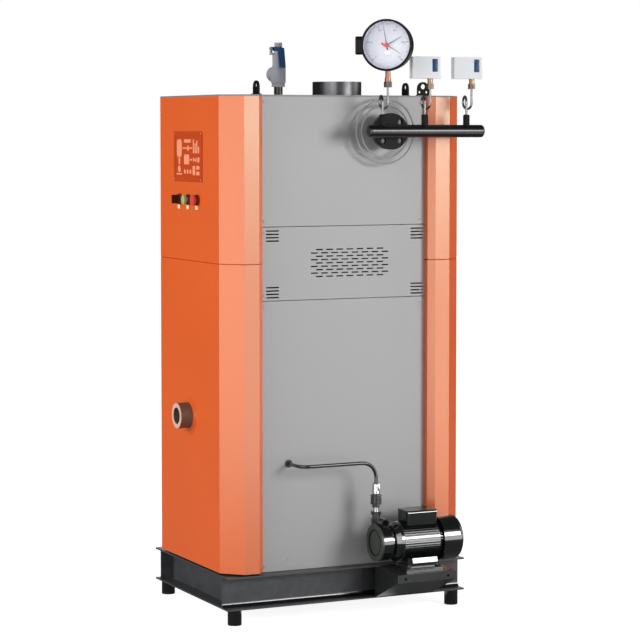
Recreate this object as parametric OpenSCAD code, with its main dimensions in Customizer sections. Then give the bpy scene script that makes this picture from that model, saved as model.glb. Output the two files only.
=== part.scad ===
// Industrial steam boiler in a folded steel cabinet.
// Millimetres, Z up, floor at zero, origin under the middle of the cabinet.
// The front cover faces -Y, the side with the steam header and pump faces +X.

/* [Cabinet] */
// Cabinet width over the covers
cab_w = 580; // [400:10:800]
// Cabinet depth over the covers
cab_d = 800; // [600:10:1200]
// Underside of the orange covers
cover_z0 = 152; // [100:1:250]
// Height of the seam between lower and upper covers
seam_z = 1074; // [600:1:1400]
// Gap at the seam
seam_gap = 3; // [1:0.5:8]
// Top of the covers
cover_z1 = 1570; // [1000:5:2000]
// Thickness of the lid edge
lid_t = 5; // [3:0.5:10]
// Depth of the skirt under the lid
lid_skirt = 14; // [8:1:30]
// Corner bevel, measured along each side
corner_cut = 57; // [20:1:120]
// Flat between the corner bevel and the side fold
corner_flat = 48; // [20:1:120]
// Side fold, measured along each side
fold_cut = 18; // [8:1:40]
// Return flange seen beside the grey cover
return_w = 20; // [8:1:40]
// Part of the return flange behind the grey cover
return_lip = 27; // [10:1:40]
// Sheet thickness of the covers
sheet = 2; // [1:0.5:4]
// Depth of the folded edges of the grey covers
tray_d = 16; // [8:1:30]
// Gap between neighbouring covers
cover_gap = 2; // [0.5:0.5:6]
// Width of the inward rim at the seam of the orange covers
rim_w = 16; // [8:1:30]
// Small gap at seats that touch
seat = 0.3; // [0.1:0.05:0.5]
// Radial clearance of running fits
run_fit = 0.08; // [0.02:0.01:0.2]
// Overrun of cutting bodies
over = 1; // [0.5:0.5:3]

/* [Side covers] */
// Lower edge of the vent cover
vent_z0 = 962; // [700:1:1200]
// Upper edge of the vent cover
vent_z1 = 1181; // [800:1:1400]
// Underside of the lowest grey cover
grey_z0 = 147; // [100:1:250]
// Height of a vent slot
slot_h = 4; // [2:0.5:8]
// Length of a short slot in the middle field
dash_l = 23; // [10:1:60]
// Pitch of the short slots along the cover
dash_pitch = 34; // [15:1:80]
// Pitch of the rows of short slots
dash_row = 10.1; // [5:0.1:20]
// Middle of the slot field along the cover
dash_y = 22; // [-60:1:60]
// Middle of the slot field in height
dash_z = 1071; // [900:1:1200]
// Length of a corner louver
louver_l = 42; // [20:1:80]
// Start of the front corner louvers
louver_y0 = -256; // [-300:1:-150]
// Start of the rear corner louvers
louver_y1 = 229; // [150:1:260]
// Centre of the top corner louvers
louver_top = 1170; // [1000:1:1300]
// Centre of the upper one of the bottom louvers
louver_low = 1001; // [900:1:1100]
// Pitch of the corner louvers
louver_pitch = 10; // [6:0.5:20]
// Radius of the cover screw heads
screw_r = 4; // [2:0.5:8]
// Height of the cover screw heads
screw_h = 2; // [1:0.5:4]

/* [Base frame] */
// Top of the base frame
base_top = 146; // [100:1:250]
// Height of the frame channels
channel_h = 100; // [60:1:160]
// Width of the channel flanges
channel_w = 46; // [30:1:80]
// Thickness of the channel steel
channel_t = 5; // [3:0.5:10]
// Inset of the frame from the covers
frame_in = 1; // [0:0.5:10]
// Radius of the pipe feet
foot_r = 21; // [12:0.5:40]
// Bore radius of the pipe feet
foot_bore_r = 17.8; // [8:0.1:36]
// Side edge of the frame to the middle of a foot
foot_in_x = 24; // [15:1:60]
// End edge of the frame to the middle of a foot
foot_in_y = 33; // [20:1:80]
// Width of the cross beams
beam_w = 40; // [20:1:80]
// Height of the cross beams
beam_h = 60; // [30:1:90]
// Section of the square tube posts
post = 30; // [20:1:60]
// Wall of the square tube posts
post_t = 3; // [2:0.5:5]
// Gap between the posts and the grey covers
post_gap = 0.5; // [0.2:0.1:4]

/* [Lifting lugs] */
// Width of a lifting lug
lug_w = 39.5; // [25:0.5:80]
// Height of a lifting lug
lug_h = 42; // [25:0.5:80]
// Plate thickness of a lifting lug
lug_t = 6; // [4:0.5:12]
// Radius of the lifting hole
lug_hole_r = 8; // [4:0.5:20]
// Radius of the small holes
lug_small_r = 4; // [2:0.5:8]

/* [Vessel] */
// Middle of the vessel along the cabinet
vessel_y = 80; // [0:1:140]
// Gap between the insulation and the folds of the side covers
vessel_gap = 4; // [1:0.5:30]
// Vessel wall
vessel_t = 8; // [4:0.5:14]
// Underside of the vessel
vessel_z0 = 330; // [250:5:500]
// Top of the vessel
vessel_z1 = 1490; // [900:5:1900]
// Thickness of the tube plates
plate_t = 12; // [6:1:20]
// Water space between the furnace and the vessel wall
water_gap = 37; // [20:1:80]
// Top of the furnace crown
furnace_z1 = 900; // [600:5:1300]
// Furnace wall
furnace_t = 8; // [4:0.5:14]
// Gap between neighbouring smoke tubes of the inner ring
tube_gap = 12.7; // [6:0.1:30]
// Wall of a smoke tube
tube_t = 3; // [2:0.5:5]
// Thickness of the insulation
jacket_t = 18; // [10:1:40]
// Radius of the burner throat
throat_r = 58; // [40:1:80]
// Height of the burner axis
throat_z = 405; // [360:5:600]
// Radius of the vessel legs
leg_r = 16; // [10:1:30]
// Radius of the flue collar
flue_r = 76.5; // [40:0.5:120]
// Middle of the flue along the cabinet
flue_y = 100; // [0:1:200]
// Top of the flue collar
flue_top = 1620; // [1100:5:2100]
// Wall of the flue collar
flue_t = 2; // [1:0.5:4]
// Gap between the smoke tubes and the hood
hood_gap = 5; // [2:0.5:12]

/* [Steam outlet and header] */
// Height of the steam nozzle
nozzle_z = 1466; // [900:1:1900]
// Place of the steam nozzle along the cabinet
nozzle_y = 122; // [0:1:200]
// Radius of the nozzle pipe
nozzle_r = 16.8; // [10:0.1:30]
// Bore radius of the nozzle pipe
nozzle_bore = 13.5; // [6:0.1:24]
// Radius of the steam flanges
flange_r = 54.5; // [40:0.5:80]
// Thickness of each steam flange
flange_t = 14; // [8:0.5:24]
// Bolt circle radius of the steam flanges
flange_pcr = 39.7; // [25:0.1:60]
// Bolt hole radius of the steam flanges
flange_hole_r = 8; // [4:0.5:12]
// Front face of the header flange before the side cover
flange_out = 83; // [60:1:140]
// Gasket thickness
gasket_t = 2; // [1:0.5:4]
// Header axis before the flange face
header_out = 37; // [25:1:80]
// Header radius
header_r = 19; // [12:0.5:32]
// Front end of the header
header_y0 = 20; // [-50:1:60]
// Rear end of the header
header_y1 = 415; // [350:1:480]
// Place of the first stub
stub_y = 70.5; // [40:0.5:120]
// Distance between the stubs
stub_pitch = 142.5; // [80:0.5:180]
// Radius of the stubs
stub_r = 10; // [6:0.5:16]
// Top of the stubs
stub_top = 1517; // [1000:1:1900]
// Radius of the siphon tube
siphon_r = 3.5; // [2:0.5:7]
// Radius of the siphon loop
siphon_loop = 18.5; // [10:0.5:30]
// Centre height of the siphon loop
siphon_z = 1553; // [1100:1:1900]
// Step of the siphon along the header
siphon_step = 18; // [10:0.5:24]
// Top of the siphon
siphon_top = 1597; // [1100:1:1900]

/* [Gauge] */
// Radius of the gauge rim
gauge_r = 77.2; // [40:0.1:110]
// Centre height of the gauge
gauge_z = 1722; // [1200:1:2000]
// Half depth of the gauge case behind the stem
gauge_back = 25; // [10:0.5:40]
// Front of the gauge rim before the stem
gauge_front = 26; // [15:0.5:40]
// Angle of the gauge face from +X towards the front
gauge_turn = 39; // [0:1:60]
// Radius of the dial
dial_r = 70.5; // [35:0.1:100]
// Radius of the gauge stem
stem_r = 8; // [4:0.5:14]

/* [Pressure switches] */
// Width of a switch box
switch_w = 91; // [50:1:140]
// Height of a switch box
switch_h = 65.5; // [40:0.5:100]
// Depth of a switch box
switch_d = 46; // [25:1:80]
// Underside of a switch box
switch_z = 1624.5; // [1200:0.5:2000]
// Angle of the switch boxes towards the front
switch_turn = 18; // [0:1:45]

/* [Safety valve] */
// Place of the safety valve along the cabinet
valve_y = -101; // [-250:1:0]
// Underside of the valve hex
valve_z = 1603; // [1100:1:2000]
// Radius of the valve riser
riser_r = 13.5; // [8:0.5:24]
// Radius of the valve chamber
valve_r = 23; // [14:0.5:40]
// Reach of the outlet boss towards -X
outlet_l = 39; // [25:1:60]
// Radius of the outlet boss
outlet_r = 23.1; // [12:0.1:30]
// Lift of the valve spindle arm
lever_arm = 17; // [10:0.5:30]

/* [Front fittings] */
// Left edge of the display
disp_x0 = -116; // [-200:1:-50]
// Right edge of the display
disp_x1 = 109; // [50:1:200]
// Lower edge of the display
disp_z0 = 1313; // [900:1:1700]
// Upper edge of the display
disp_z1 = 1466; // [1000:1:1900]
// Height of the row of controls
ctrl_z = 1259; // [900:1:1700]
// Distance between the controls
ctrl_pitch = 70; // [40:1:100]
// Radius of the control bezels
bezel_r = 16.5; // [10:0.5:25]
// Height of the blow-down socket
socket_z = 600; // [300:1:900]
// Sideways place of the blow-down socket
socket_x = -5; // [-100:1:100]
// Radius of the blow-down socket
socket_r = 39; // [20:0.5:60]
// Bore radius of the blow-down socket
socket_bore = 25; // [10:0.5:40]
// Reach of the socket before the front cover
socket_out = 41; // [20:1:80]

/* [Feed line] */
// Height of the feed tube
feed_z = 470; // [300:1:800]
// Place where the feed tube enters the cabinet
feed_y = -183; // [-250:1:-100]
// Radius of the feed tube
feed_r = 5.5; // [3:0.5:10]
// Bore radius of the feed tube
feed_bore = 4; // [2:0.5:8]
// Outer run of the feed tube before the side cover
feed_out = 88; // [70:1:140]
// First bend radius
feed_bend1 = 30; // [15:1:60]
// Second bend radius
feed_bend2 = 46; // [15:1:80]
// Place of the check valve along the cabinet
stack_y = 67; // [30:1:120]

/* [Pump] */
// Pump axis before the side cover
pump_out = 108; // [95:1:150]
// Height of the pump axis
pump_z = 229.5; // [200:0.5:300]
// Front face of the pump cover
pump_y0 = 52; // [0:1:100]
// Radius of the pump head
head_r = 55; // [40:0.5:80]
// Rear end of the pump head
head_y1 = 88; // [84:1:110]
// Front of the motor bell
bell_y0 = 104; // [95:1:130]
// Front of the motor frame
motor_y0 = 126; // [115:1:150]
// Rear of the motor frame
motor_y1 = 256; // [220:1:300]
// Outer radius over the motor fins
fin_r = 62; // [40:0.5:80]
// Radius of the motor shell
shell_r = 54; // [35:0.5:70]
// Radius of the fan cover
fan_r = 67.5; // [45:0.5:85]
// Rear end of the fan cover
fan_y1 = 326; // [300:0.5:400]
// Radius of the motor shaft
shaft_r = 8; // [5:0.5:14]
// Outer edge of the pump bracket before the frame
bracket_out = 151; // [130:1:200]
// Front edge of the pump bracket
bracket_y0 = 90; // [50:1:150]
// Rear edge of the pump bracket
bracket_y1 = 288; // [200:1:350]
// Plate thickness of the pump bracket
bracket_t = 4; // [2:0.5:8]
// Height of the bracket apron
bracket_lip = 25; // [15:1:50]

/* [Hidden] */
$fn = 48;
half_w = cab_w / 2;
half_d = cab_d / 2;
side_x = half_w - fold_cut - return_w;
side_y = half_d - corner_cut - corner_flat - fold_cut;
base_bot = base_top - channel_h;
frame_x = half_w - frame_in;
frame_y = half_d - frame_in;
web_x = frame_x - channel_w;
web_y = frame_y - channel_w;
lid_z1 = cover_z1 + lid_t;
feet_x = (frame_x - foot_in_x) * 2;
feet_y = (frame_y - foot_in_y) * 2;
post_x = side_x - sheet - post_gap;
post_y = side_y + sheet + seat;
rail_x = side_x - tray_d - sheet * 2;
vessel_r = side_x - tray_d - sheet * 2 - vessel_gap - jacket_t;
jacket_r = vessel_r + jacket_t + sheet;
furnace_r = vessel_r - vessel_t - water_gap;
flange_x = side_x + flange_out;
header_x = flange_x + header_out;
feed_x = side_x + feed_out;
pump_x = side_x + pump_out;
bracket_x = frame_x + bracket_out;

// Corner outline of an orange cover, anticlockwise, front one
cover_line = [
    [-(half_w - fold_cut), -side_y],
    [-half_w, -(side_y + fold_cut)],
    [-half_w, -(half_d - corner_cut)],
    [-(half_w - corner_cut), -half_d],
    [half_w - corner_cut, -half_d],
    [half_w, -(half_d - corner_cut)],
    [half_w, -(side_y + fold_cut)],
    [half_w - fold_cut, -side_y]
];
// Outline of the lid, all round
lid_line = concat(
    cover_line,
    [[side_x, -side_y], [side_x, side_y]],
    [for (i = [7 : -1 : 0]) [cover_line[i][0], -cover_line[i][1]]],
    [[-side_x, side_y], [-side_x, -side_y]]
);

function unit(v) = v / norm(v);
function turn_left(v) = [-v[1], v[0]];
function miter(a, b) = (a + b) / (1 + a * b);
// Shrinks an anticlockwise outline by t
function inset(p, t) = [
    for (i = [0 : len(p) - 1])
        let (n = len(p), a = p[(i + n - 1) % n], b = p[i], c = p[(i + 1) % n])
        b + t * miter(turn_left(unit(b - a)), turn_left(unit(c - b)))
];

// A box from its low corner to its high corner
module block(lo, hi) {
    translate(lo)
    cube(hi - lo);
}

// A round bar standing up from a point
module rod_z(at, r, l) {
    translate(at)
    cylinder(r = r, h = l);
}

// A round bar from a point towards +X
module rod_x(at, r, l) {
    translate(at)
    rotate([0, 90, 0])
    cylinder(r = r, h = l);
}

// A round bar from a point towards +Y
module rod_y(at, r, l) {
    translate(at)
    rotate([-90, 0, 0])
    cylinder(r = r, h = l);
}

// A hex bar standing up, given its width over the flats
module hex_z(at, af, l) {
    translate(at)
    cylinder(r = af / sqrt(3), h = l, $fn = 6);
}

// A slab over an outline, between two heights
module slab(line, z0, z1) {
    translate([0, 0, z0])
    linear_extrude(height = z1 - z0)
    polygon(line);
}

// A box with rounded upright edges
module soft_box(lo, hi, r) {
    translate([0, 0, lo[2]])
    linear_extrude(height = hi[2] - lo[2])
    union() {
        translate([lo[0] + r, lo[1]])
        square([hi[0] - lo[0] - 2 * r, hi[1] - lo[1]]);
        translate([lo[0], lo[1] + r])
        square([hi[0] - lo[0], hi[1] - lo[1] - 2 * r]);
        for (x = [lo[0] + r, hi[0] - r], y = [lo[1] + r, hi[1] - r])
            translate([x, y])
            circle(r = r);
    }
}

// A quarter or half of a bent round bar, in the XY plane from +X
module bend(big, r, a) {
    rotate_extrude(angle = a)
    translate([big, 0])
    circle(r = r);
}

/* Base and inner frame */

module side_channel() {
    block([web_x, -frame_y, base_bot], [web_x + channel_t, frame_y, base_top]);
    block([web_x, -frame_y, base_bot], [frame_x, frame_y, base_bot + channel_t]);
    block([web_x, -frame_y, base_top - channel_t], [frame_x, frame_y, base_top]);
}

module end_channel() {
    block([-web_x - over, web_y, base_bot], [web_x + over, web_y + channel_t, base_top]);
    block([-web_x - over, web_y, base_bot], [web_x + over, frame_y, base_bot + channel_t]);
    block([-web_x - over, web_y, base_top - channel_t], [web_x + over, frame_y, base_top]);
}

module cross_beam(y) {
    difference() {
        block([-web_x - over, y - beam_w / 2, base_top - beam_h], [web_x + over, y + beam_w / 2, base_top]);
        block(
            [-web_x, y - beam_w / 2 + channel_t, base_top - beam_h + channel_t],
            [web_x, y + beam_w / 2 - channel_t, base_top - channel_t]
        );
    }
}

leg_dx = vessel_r * 0.7;
leg_dy = vessel_r * 0.6;

module base_frame() {
    color([0.16, 0.16, 0.17]) {
        side_channel();
        mirror([1, 0, 0]) side_channel();
        end_channel();
        mirror([0, 1, 0]) end_channel();
        cross_beam(-post_y - post / 2);
        cross_beam(post_y + post / 2);
        cross_beam(vessel_y - leg_dy);
        cross_beam(vessel_y + leg_dy);
        for (x = [-leg_dx, leg_dx], y = [vessel_y - leg_dy, vessel_y + leg_dy])
            rod_z([x, y, base_top - over], leg_r, vessel_z0 - seat - base_top + over);
    }
}

module feet() {
    color([0.05, 0.05, 0.05])
    for (x = [-feet_x / 2, feet_x / 2], y = [-feet_y / 2, feet_y / 2])
        difference() {
            rod_z([x, y, 0], foot_r, base_bot);
            rod_z([x, y, -over], foot_bore_r, base_bot - channel_t + over);
        }
}

rail_z1 = cover_z1 - seat;

module post_bar(lo, hi, hollow) {
    difference() {
        block(lo, hi);
        block(lo + hollow, hi - hollow);
    }
}

module inner_frame() {
    color([0.3, 0.3, 0.31])
    for (s = [-1, 1]) {
        for (t = [-1, 1])
            mirror([s < 0 ? 1 : 0, 0, 0])
            mirror([0, t < 0 ? 1 : 0, 0])
            post_bar(
                [post_x - post, post_y, base_top],
                [post_x, post_y + post, rail_z1],
                [post_t, post_t, post_t]
            );
        mirror([s < 0 ? 1 : 0, 0, 0])
        post_bar(
            [rail_x - post, -post_y - over, rail_z1 - post],
            [rail_x, post_y + over, rail_z1],
            [post_t, over * 2, post_t]
        );
        mirror([0, s < 0 ? 1 : 0, 0])
        post_bar(
            [-post_x + post - over, post_y, rail_z1 - post],
            [post_x - post + over, post_y + post, rail_z1],
            [over * 2, post_t, post_t]
        );
    }
}

/* Covers */

// One folded orange cover, open towards the middle of the cabinet
module folded_cover(z0, z1, rim_z) {
    rim_y = post_y + post + over * 2;
    difference() {
        slab(cover_line, z0, z1);
        for (x = [-rail_x - over, side_x - return_lip - over])
            block(
                [x, -side_y - sheet - over, rail_z1 - post - over],
                [x + rail_x - side_x + return_lip + over * 2, -side_y + over, rail_z1 + over * 2]
            );
        slab(inset(cover_line, sheet), z0 - over, z1 + over);
        block(
            [-side_x + return_lip, -side_y - sheet - over, z0 - over],
            [side_x - return_lip, -side_y + over, z1 + over]
        );
    }
    intersection() {
        difference() {
            slab(inset(cover_line, sheet * 0.9), rim_z, rim_z + sheet);
            slab(inset(cover_line, sheet + rim_w), rim_z - over, rim_z + sheet + over);
        }
        block([-half_w, -half_d, rim_z - over], [half_w, -rim_y, rim_z + sheet + over]);
    }
}

low_z1 = seam_z - seam_gap / 2;
up_z0 = seam_z + seam_gap / 2;
stem_hole = bezel_r * 0.67;

module front_casing_lower() {
    color([0.89, 0.39, 0.18])
    difference() {
        folded_cover(cover_z0, low_z1, low_z1 - sheet);
        rod_y([socket_x, -half_d - over, socket_z], socket_r + seat * 4, sheet * 2 + over);
    }
}

module front_casing_upper() {
    color([0.89, 0.39, 0.18])
    difference() {
        folded_cover(up_z0, cover_z1, up_z0);
        block(
            [disp_x0 + disp_lap, -half_d - over, disp_z0 + disp_lap],
            [disp_x1 - disp_lap, -half_d + sheet + over, disp_z1 - disp_lap]
        );
        for (i = [-1, 0, 1])
            rod_y([i * ctrl_pitch, -half_d - over, ctrl_z], stem_hole, sheet * 2 + over);
    }
}

module rear_casing_lower() {
    color([0.89, 0.39, 0.18])
    mirror([0, 1, 0])
    folded_cover(cover_z0, low_z1, low_z1 - sheet);
}

module rear_casing_upper() {
    color([0.89, 0.39, 0.18])
    difference() {
        mirror([0, 1, 0]) folded_cover(up_z0, cover_z1, up_z0);
        rod_y([0, half_d - sheet - over, main_z], nozzle_r + seat * 4, sheet * 2 + over);
    }
}

// One grey cover as a folded tray on the +X side
module side_tray(z0, z1) {
    e = side_y - seat;
    difference() {
        block([side_x - tray_d - sheet, -e, z0], [side_x, e, z1]);
        block([side_x - tray_d - sheet - over, -e + sheet, z0 + sheet], [side_x - sheet, e - sheet, z1 - sheet]);
    }
}

grey_z1 = vent_z0 - cover_gap;
up_grey_z0 = vent_z1 + cover_gap;

module right_panel_upper() {
    color([0.66, 0.66, 0.66])
    difference() {
        side_tray(up_grey_z0, cover_z1 - seat);
        rod_x([side_x - sheet - over, nozzle_y, nozzle_z], nozzle_r + seat * 4, sheet + over * 2);
    }
}

// Slots of the vent cover, drawn on the +X side
module vent_slots() {
    x0 = side_x - sheet - over;
    x1 = side_x + over;
    for (i = [-4 : 4]) {
        n = i % 2 == 0 ? 7 : 8;
        for (k = [0 : n - 1]) {
            yc = dash_y + (k - (n - 1) / 2) * dash_pitch;
            zc = dash_z + i * dash_row;
            block([x0, yc - dash_l / 2, zc - slot_h / 2], [x1, yc + dash_l / 2, zc + slot_h / 2]);
        }
    }
    for (zt = [louver_top, louver_low], k = [0 : 3], y0 = [louver_y0, louver_y1]) {
        zc = zt - k * louver_pitch;
        block([x0, y0, zc - slot_h / 2], [x1, y0 + louver_l, zc + slot_h / 2]);
    }
}

module right_panel_vent() {
    color([0.66, 0.66, 0.66])
    difference() {
        side_tray(vent_z0, vent_z1);
        vent_slots();
    }
}

module right_panel_lower() {
    color([0.66, 0.66, 0.66])
    difference() {
        side_tray(grey_z0, grey_z1);
        rod_x([side_x - sheet - over, feed_y, feed_z], grommet_r, sheet + over * 2);
    }
}

module left_panels() {
    color([0.66, 0.66, 0.66])
    mirror([1, 0, 0]) {
        side_tray(up_grey_z0, cover_z1 - seat);
        side_tray(grey_z0, grey_z1);
        difference() {
            side_tray(vent_z0, vent_z1);
            vent_slots();
        }
    }
}

module lid() {
    skirt_z0 = cover_z1 - lid_skirt;
    color([0.52, 0.52, 0.52])
    difference() {
        union() {
            slab(lid_line, cover_z1, lid_z1);
            for (s = [0, 1])
                mirror([0, s, 0])
                intersection() {
                    difference() {
                        slab(inset(cover_line, sheet + seat), skirt_z0, cover_z1 + over);
                        slab(inset(cover_line, sheet * 2 + seat), skirt_z0 - over, cover_z1);
                    }
                    block([-half_w, -half_d, skirt_z0], [half_w, -post_y - post - over, cover_z1 + over]);
                }
        }
        rod_z([0, flue_y, cover_z1 - over], flue_r + seat * 2, lid_t + over * 2);
        rod_z([0, valve_y, cover_z1 - over], riser_r + seat * 2, lid_t + over * 2);
    }
}

lug_top_z = lid_z1 + lug_h;
lug_foot_h = lug_t * 0.5;

// A lug plate with its holes, thin along Y
module lug_plate() {
    difference() {
        union() {
            block([-lug_w / 2, -lug_t / 2, 0], [lug_w / 2, lug_t / 2, lug_h - lug_w / 2]);
            rod_y([0, -lug_t / 2, lug_h - lug_w / 2], lug_w / 2, lug_t);
        }
        rod_y([0, -lug_t, lug_h * 0.66], lug_hole_r, lug_t * 2);
        for (s = [-1, 1])
            rod_y([s * lug_w * 0.3, -lug_t, lug_h * 0.26], lug_small_r, lug_t * 2);
    }
    block([-lug_w / 2, -lug_t * 1.5, 0], [lug_w / 2, lug_t * 1.5, lug_foot_h]);
}

module lifting_lugs() {
    color([0.06, 0.06, 0.06]) {
        translate([post_x - post / 2, -post_y, lid_z1]) lug_plate();
        translate([post_x - post / 2, post_y, lid_z1]) rotate([0, 0, 90]) lug_plate();
        translate([post_x * 0.36, post_y + post / 2, lid_z1]) lug_plate();
        translate([-post_x + post / 2, post_y, lid_z1]) rotate([0, 0, 90]) lug_plate();
    }
}

// A cover screw head pointing along +X
module screw_x(at) {
    rod_x(at, screw_r, screw_h);
}

module panel_screws() {
    e = side_y - tray_d;
    color([0.5, 0.5, 0.5]) {
        for (m = [0, 1])
            mirror([m, 0, 0])
            for (z = [grey_z1 - tray_d, vent_z1 - tray_d, cover_z1 - tray_d, grey_z0 + tray_d, vent_z0 + tray_d,
                up_grey_z0 + tray_d], s = [-1, 1])
                screw_x([side_x, s * e, z]);
        for (s = [-1, 1])
            screw_x([side_x + ros_t, nozzle_y + s * (ros_out + ros_in) * 0.38, nozzle_z - s * (ros_out + ros_in) * 0.32]);
        screw_x([side_x, feed_y, grey_z0 + tray_d * 2]);
        for (x = [disp_x0 + disp_lap, disp_x1 - disp_lap], z = [disp_z0 + disp_lap, disp_z1 - disp_lap])
            rod_y([x, -half_d - disp_t - screw_h / 2, z], screw_r / 2, screw_h / 2);
    }
}

/* Vessel */

main_z = vessel_z1 - throat_r;
main_out = socket_out * 0.8;
shell_bolts = [45, 135, 225, 315];

// A flange on +X with its back at zero, with open bolt holes
module steam_flange() {
    difference() {
        rod_x([0, 0, 0], flange_r, flange_t);
        for (a = shell_bolts)
            rod_x(
                [-over, flange_pcr * cos(a), flange_pcr * sin(a)],
                flange_hole_r,
                flange_t + over * 2
            );
    }
}

ring_a = vessel_r * 0.27;
ring_b = vessel_r * 0.515;
tube_r = (ring_a - tube_gap) / 2;
hood_r = ring_b + tube_r + hood_gap;

// Calls its child at each smoke tube
module at_tubes() {
    translate([0, flue_y, 0]) {
        children();
        for (i = [0 : 5])
            rotate([0, 0, i * 60])
            translate([ring_a, 0, 0])
            children();
        for (i = [0 : 11])
            rotate([0, 0, i * 30 + 15])
            translate([ring_b, 0, 0])
            children();
    }
}

nozzle_x0 = flange_x - flange_t * 2 - gasket_t;
probe_r = vessel_r * 0.84;
probe_hole = tube_r * 0.36;

// Calls its child at each level probe
module at_probes() {
    for (a = [196, 212, 228])
        translate([probe_r * cos(a), vessel_y + probe_r * sin(a), vessel_z1])
        children();
}

flat_in = vessel_t * 0.08;

// Shell with a narrow flat at the front and rear, where the pipes enter
module boiler_shell() {
    color([0.35, 0.34, 0.33])
    difference() {
        union() {
            translate([0, vessel_y, vessel_z0]) {
                difference() {
                    cylinder(r = vessel_r, h = vessel_z1 - vessel_z0, $fn = 96);
                    translate([0, 0, plate_t])
                    cylinder(r = vessel_r - vessel_t, h = vessel_z1 - vessel_z0 - plate_t * 2, $fn = 96);
                }
            }
        }
        for (s = [0, 1])
            translate([0, vessel_y, 0])
            mirror([0, s, 0])
            block([-vessel_r, vessel_r - flat_in, vessel_z0 - over], [vessel_r, vessel_r + over, vessel_z1 + over]);
        rod_z([0, vessel_y, vessel_z0 - over], furnace_r + run_fit, plate_t + over * 2);
        rod_x([vessel_r * 0.8, nozzle_y, nozzle_z], nozzle_r + run_fit, vessel_r);
        rod_z([0, valve_y, vessel_z1 - plate_t - over], riser_r + run_fit, plate_t + over * 2);
        rod_y([0, vessel_y + vessel_r * 0.9, main_z], nozzle_r + run_fit, vessel_r);
        rod_y([0, vessel_y - vessel_r - over, throat_z], throat_r + run_fit, vessel_r * 0.5);
        rod_y([socket_x, vessel_y - vessel_r - over, socket_z], socket_bore * 1.3 + run_fit, vessel_r * 0.3);
        rod_y([feed_in_x, vessel_y - vessel_r - over, feed_z], feed_r + run_fit, vessel_r * 0.5);
        at_tubes()
        translate([0, 0, vessel_z1 - plate_t - over])
        cylinder(r = tube_r + run_fit, h = plate_t + over * 2);
        at_probes()
        translate([0, 0, -plate_t - over])
        cylinder(r = probe_hole, h = plate_t + over * 2);
    }
}

// Ends of the pipes inside the vessel wall
pipe_in = vessel_r * 0.88;
flange_y = half_d + main_out;

module steam_pipes() {
    color([0.06, 0.06, 0.06]) {
        difference() {
            union() {
                rod_x([pipe_in, nozzle_y, nozzle_z], nozzle_r, nozzle_x0 - pipe_in + over);
                translate([nozzle_x0, nozzle_y, nozzle_z]) steam_flange();
            }
            rod_x([pipe_in - over, nozzle_y, nozzle_z], nozzle_bore, flange_x);
        }
        difference() {
            rod_z([0, valve_y, vessel_z1 - plate_t * 1.5], riser_r, valve_z - vessel_z1 + plate_t * 1.5);
            rod_z([0, valve_y, vessel_z1 - plate_t * 2], riser_r * 0.7, valve_z - vessel_z1 + plate_t * 3);
        }
        difference() {
            union() {
                rod_y([0, vessel_y + pipe_in, main_z], nozzle_r, flange_y - vessel_y - pipe_in - flange_t + over);
                translate([0, flange_y, main_z]) rotate([0, 0, 90]) translate([-flange_t, 0, 0]) steam_flange();
            }
            rod_y([0, vessel_y + pipe_in - over, main_z], nozzle_bore, cab_d);
        }
    }
}

module furnace() {
    h = furnace_z1 - vessel_z0;
    color([0.3, 0.3, 0.3])
    difference() {
        union() {
            rod_z([0, vessel_y, vessel_z0], furnace_r, h);
            rod_y([0, vessel_y - vessel_r - jacket_t, throat_z], throat_r, vessel_r * 0.5);
        }
        rod_z([0, vessel_y, vessel_z0 + plate_t], furnace_r - furnace_t, h - plate_t * 2);
        rod_y([0, vessel_y - vessel_r * 1.5, throat_z], throat_r - tube_t, vessel_r * 1.2);
        at_tubes()
        translate([0, 0, furnace_z1 - plate_t - over])
        cylinder(r = tube_r + run_fit, h = plate_t + over * 2);
    }
}

module smoke_tubes() {
    color([0.4, 0.4, 0.41])
    at_tubes()
    translate([0, 0, furnace_z1 - plate_t])
    difference() {
        cylinder(r = tube_r, h = vessel_z1 - furnace_z1 + plate_t, $fn = 24);
        translate([0, 0, -over])
        cylinder(r = tube_r - tube_t, h = vessel_z1 - furnace_z1 + plate_t + over * 2, $fn = 24);
    }
}

module flue_hood() {
    z0 = vessel_z1;
    z1 = vessel_z1 + plate_t;
    z2 = cover_z1 - lid_skirt;
    color([0.72, 0.72, 0.72])
    translate([0, flue_y, 0])
    rotate_extrude($fn = 96)
    polygon([
        [hood_r, z0],
        [hood_r, z1],
        [flue_r, z2],
        [flue_r, flue_top],
        [flue_r - flue_t, flue_top],
        [flue_r - flue_t, z2 - flue_t / 2],
        [hood_r - flue_t, z1 - flue_t / 2],
        [hood_r - flue_t, z0]
    ]);
}

module insulation_jacket() {
    z0 = vessel_z0 + plate_t;
    h = vessel_z1 - z0 - plate_t;
    color([0.75, 0.74, 0.7])
    difference() {
        rod_z([0, vessel_y, z0], jacket_r, h);
        rod_z([0, vessel_y, z0 - over], vessel_r + seat, h + over * 2);
        rod_x([0, nozzle_y, nozzle_z], nozzle_r + seat * 4, cab_w);
        rod_y([0, vessel_y, main_z], nozzle_r + seat * 4, cab_w);
        rod_y([0, vessel_y - cab_w, throat_z], throat_r + seat * 4, cab_w);
        rod_y([socket_x, vessel_y - cab_w, socket_z], socket_r + seat * 4, cab_w);
        rod_y([feed_in_x, vessel_y - cab_w, feed_z], feed_r + seat * 4, cab_w);
    }
}

module blowdown_socket() {
    y0 = -half_d - socket_out;
    y1 = vessel_y - vessel_r;
    color([0.06, 0.06, 0.06])
    difference() {
        union() {
            rod_y([socket_x, y0, socket_z], socket_r, socket_out * 1.5);
            rod_y([socket_x, y0, socket_z], socket_bore * 1.3, y1 - y0 + vessel_t);
        }
        rod_y([socket_x, y0 - over, socket_z], socket_bore, y1 - y0 + vessel_t + over * 2);
    }
}

ros_out = 82;
ros_in = 70;
ros_t = 1.5;
ros_front = 58.5;

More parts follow.
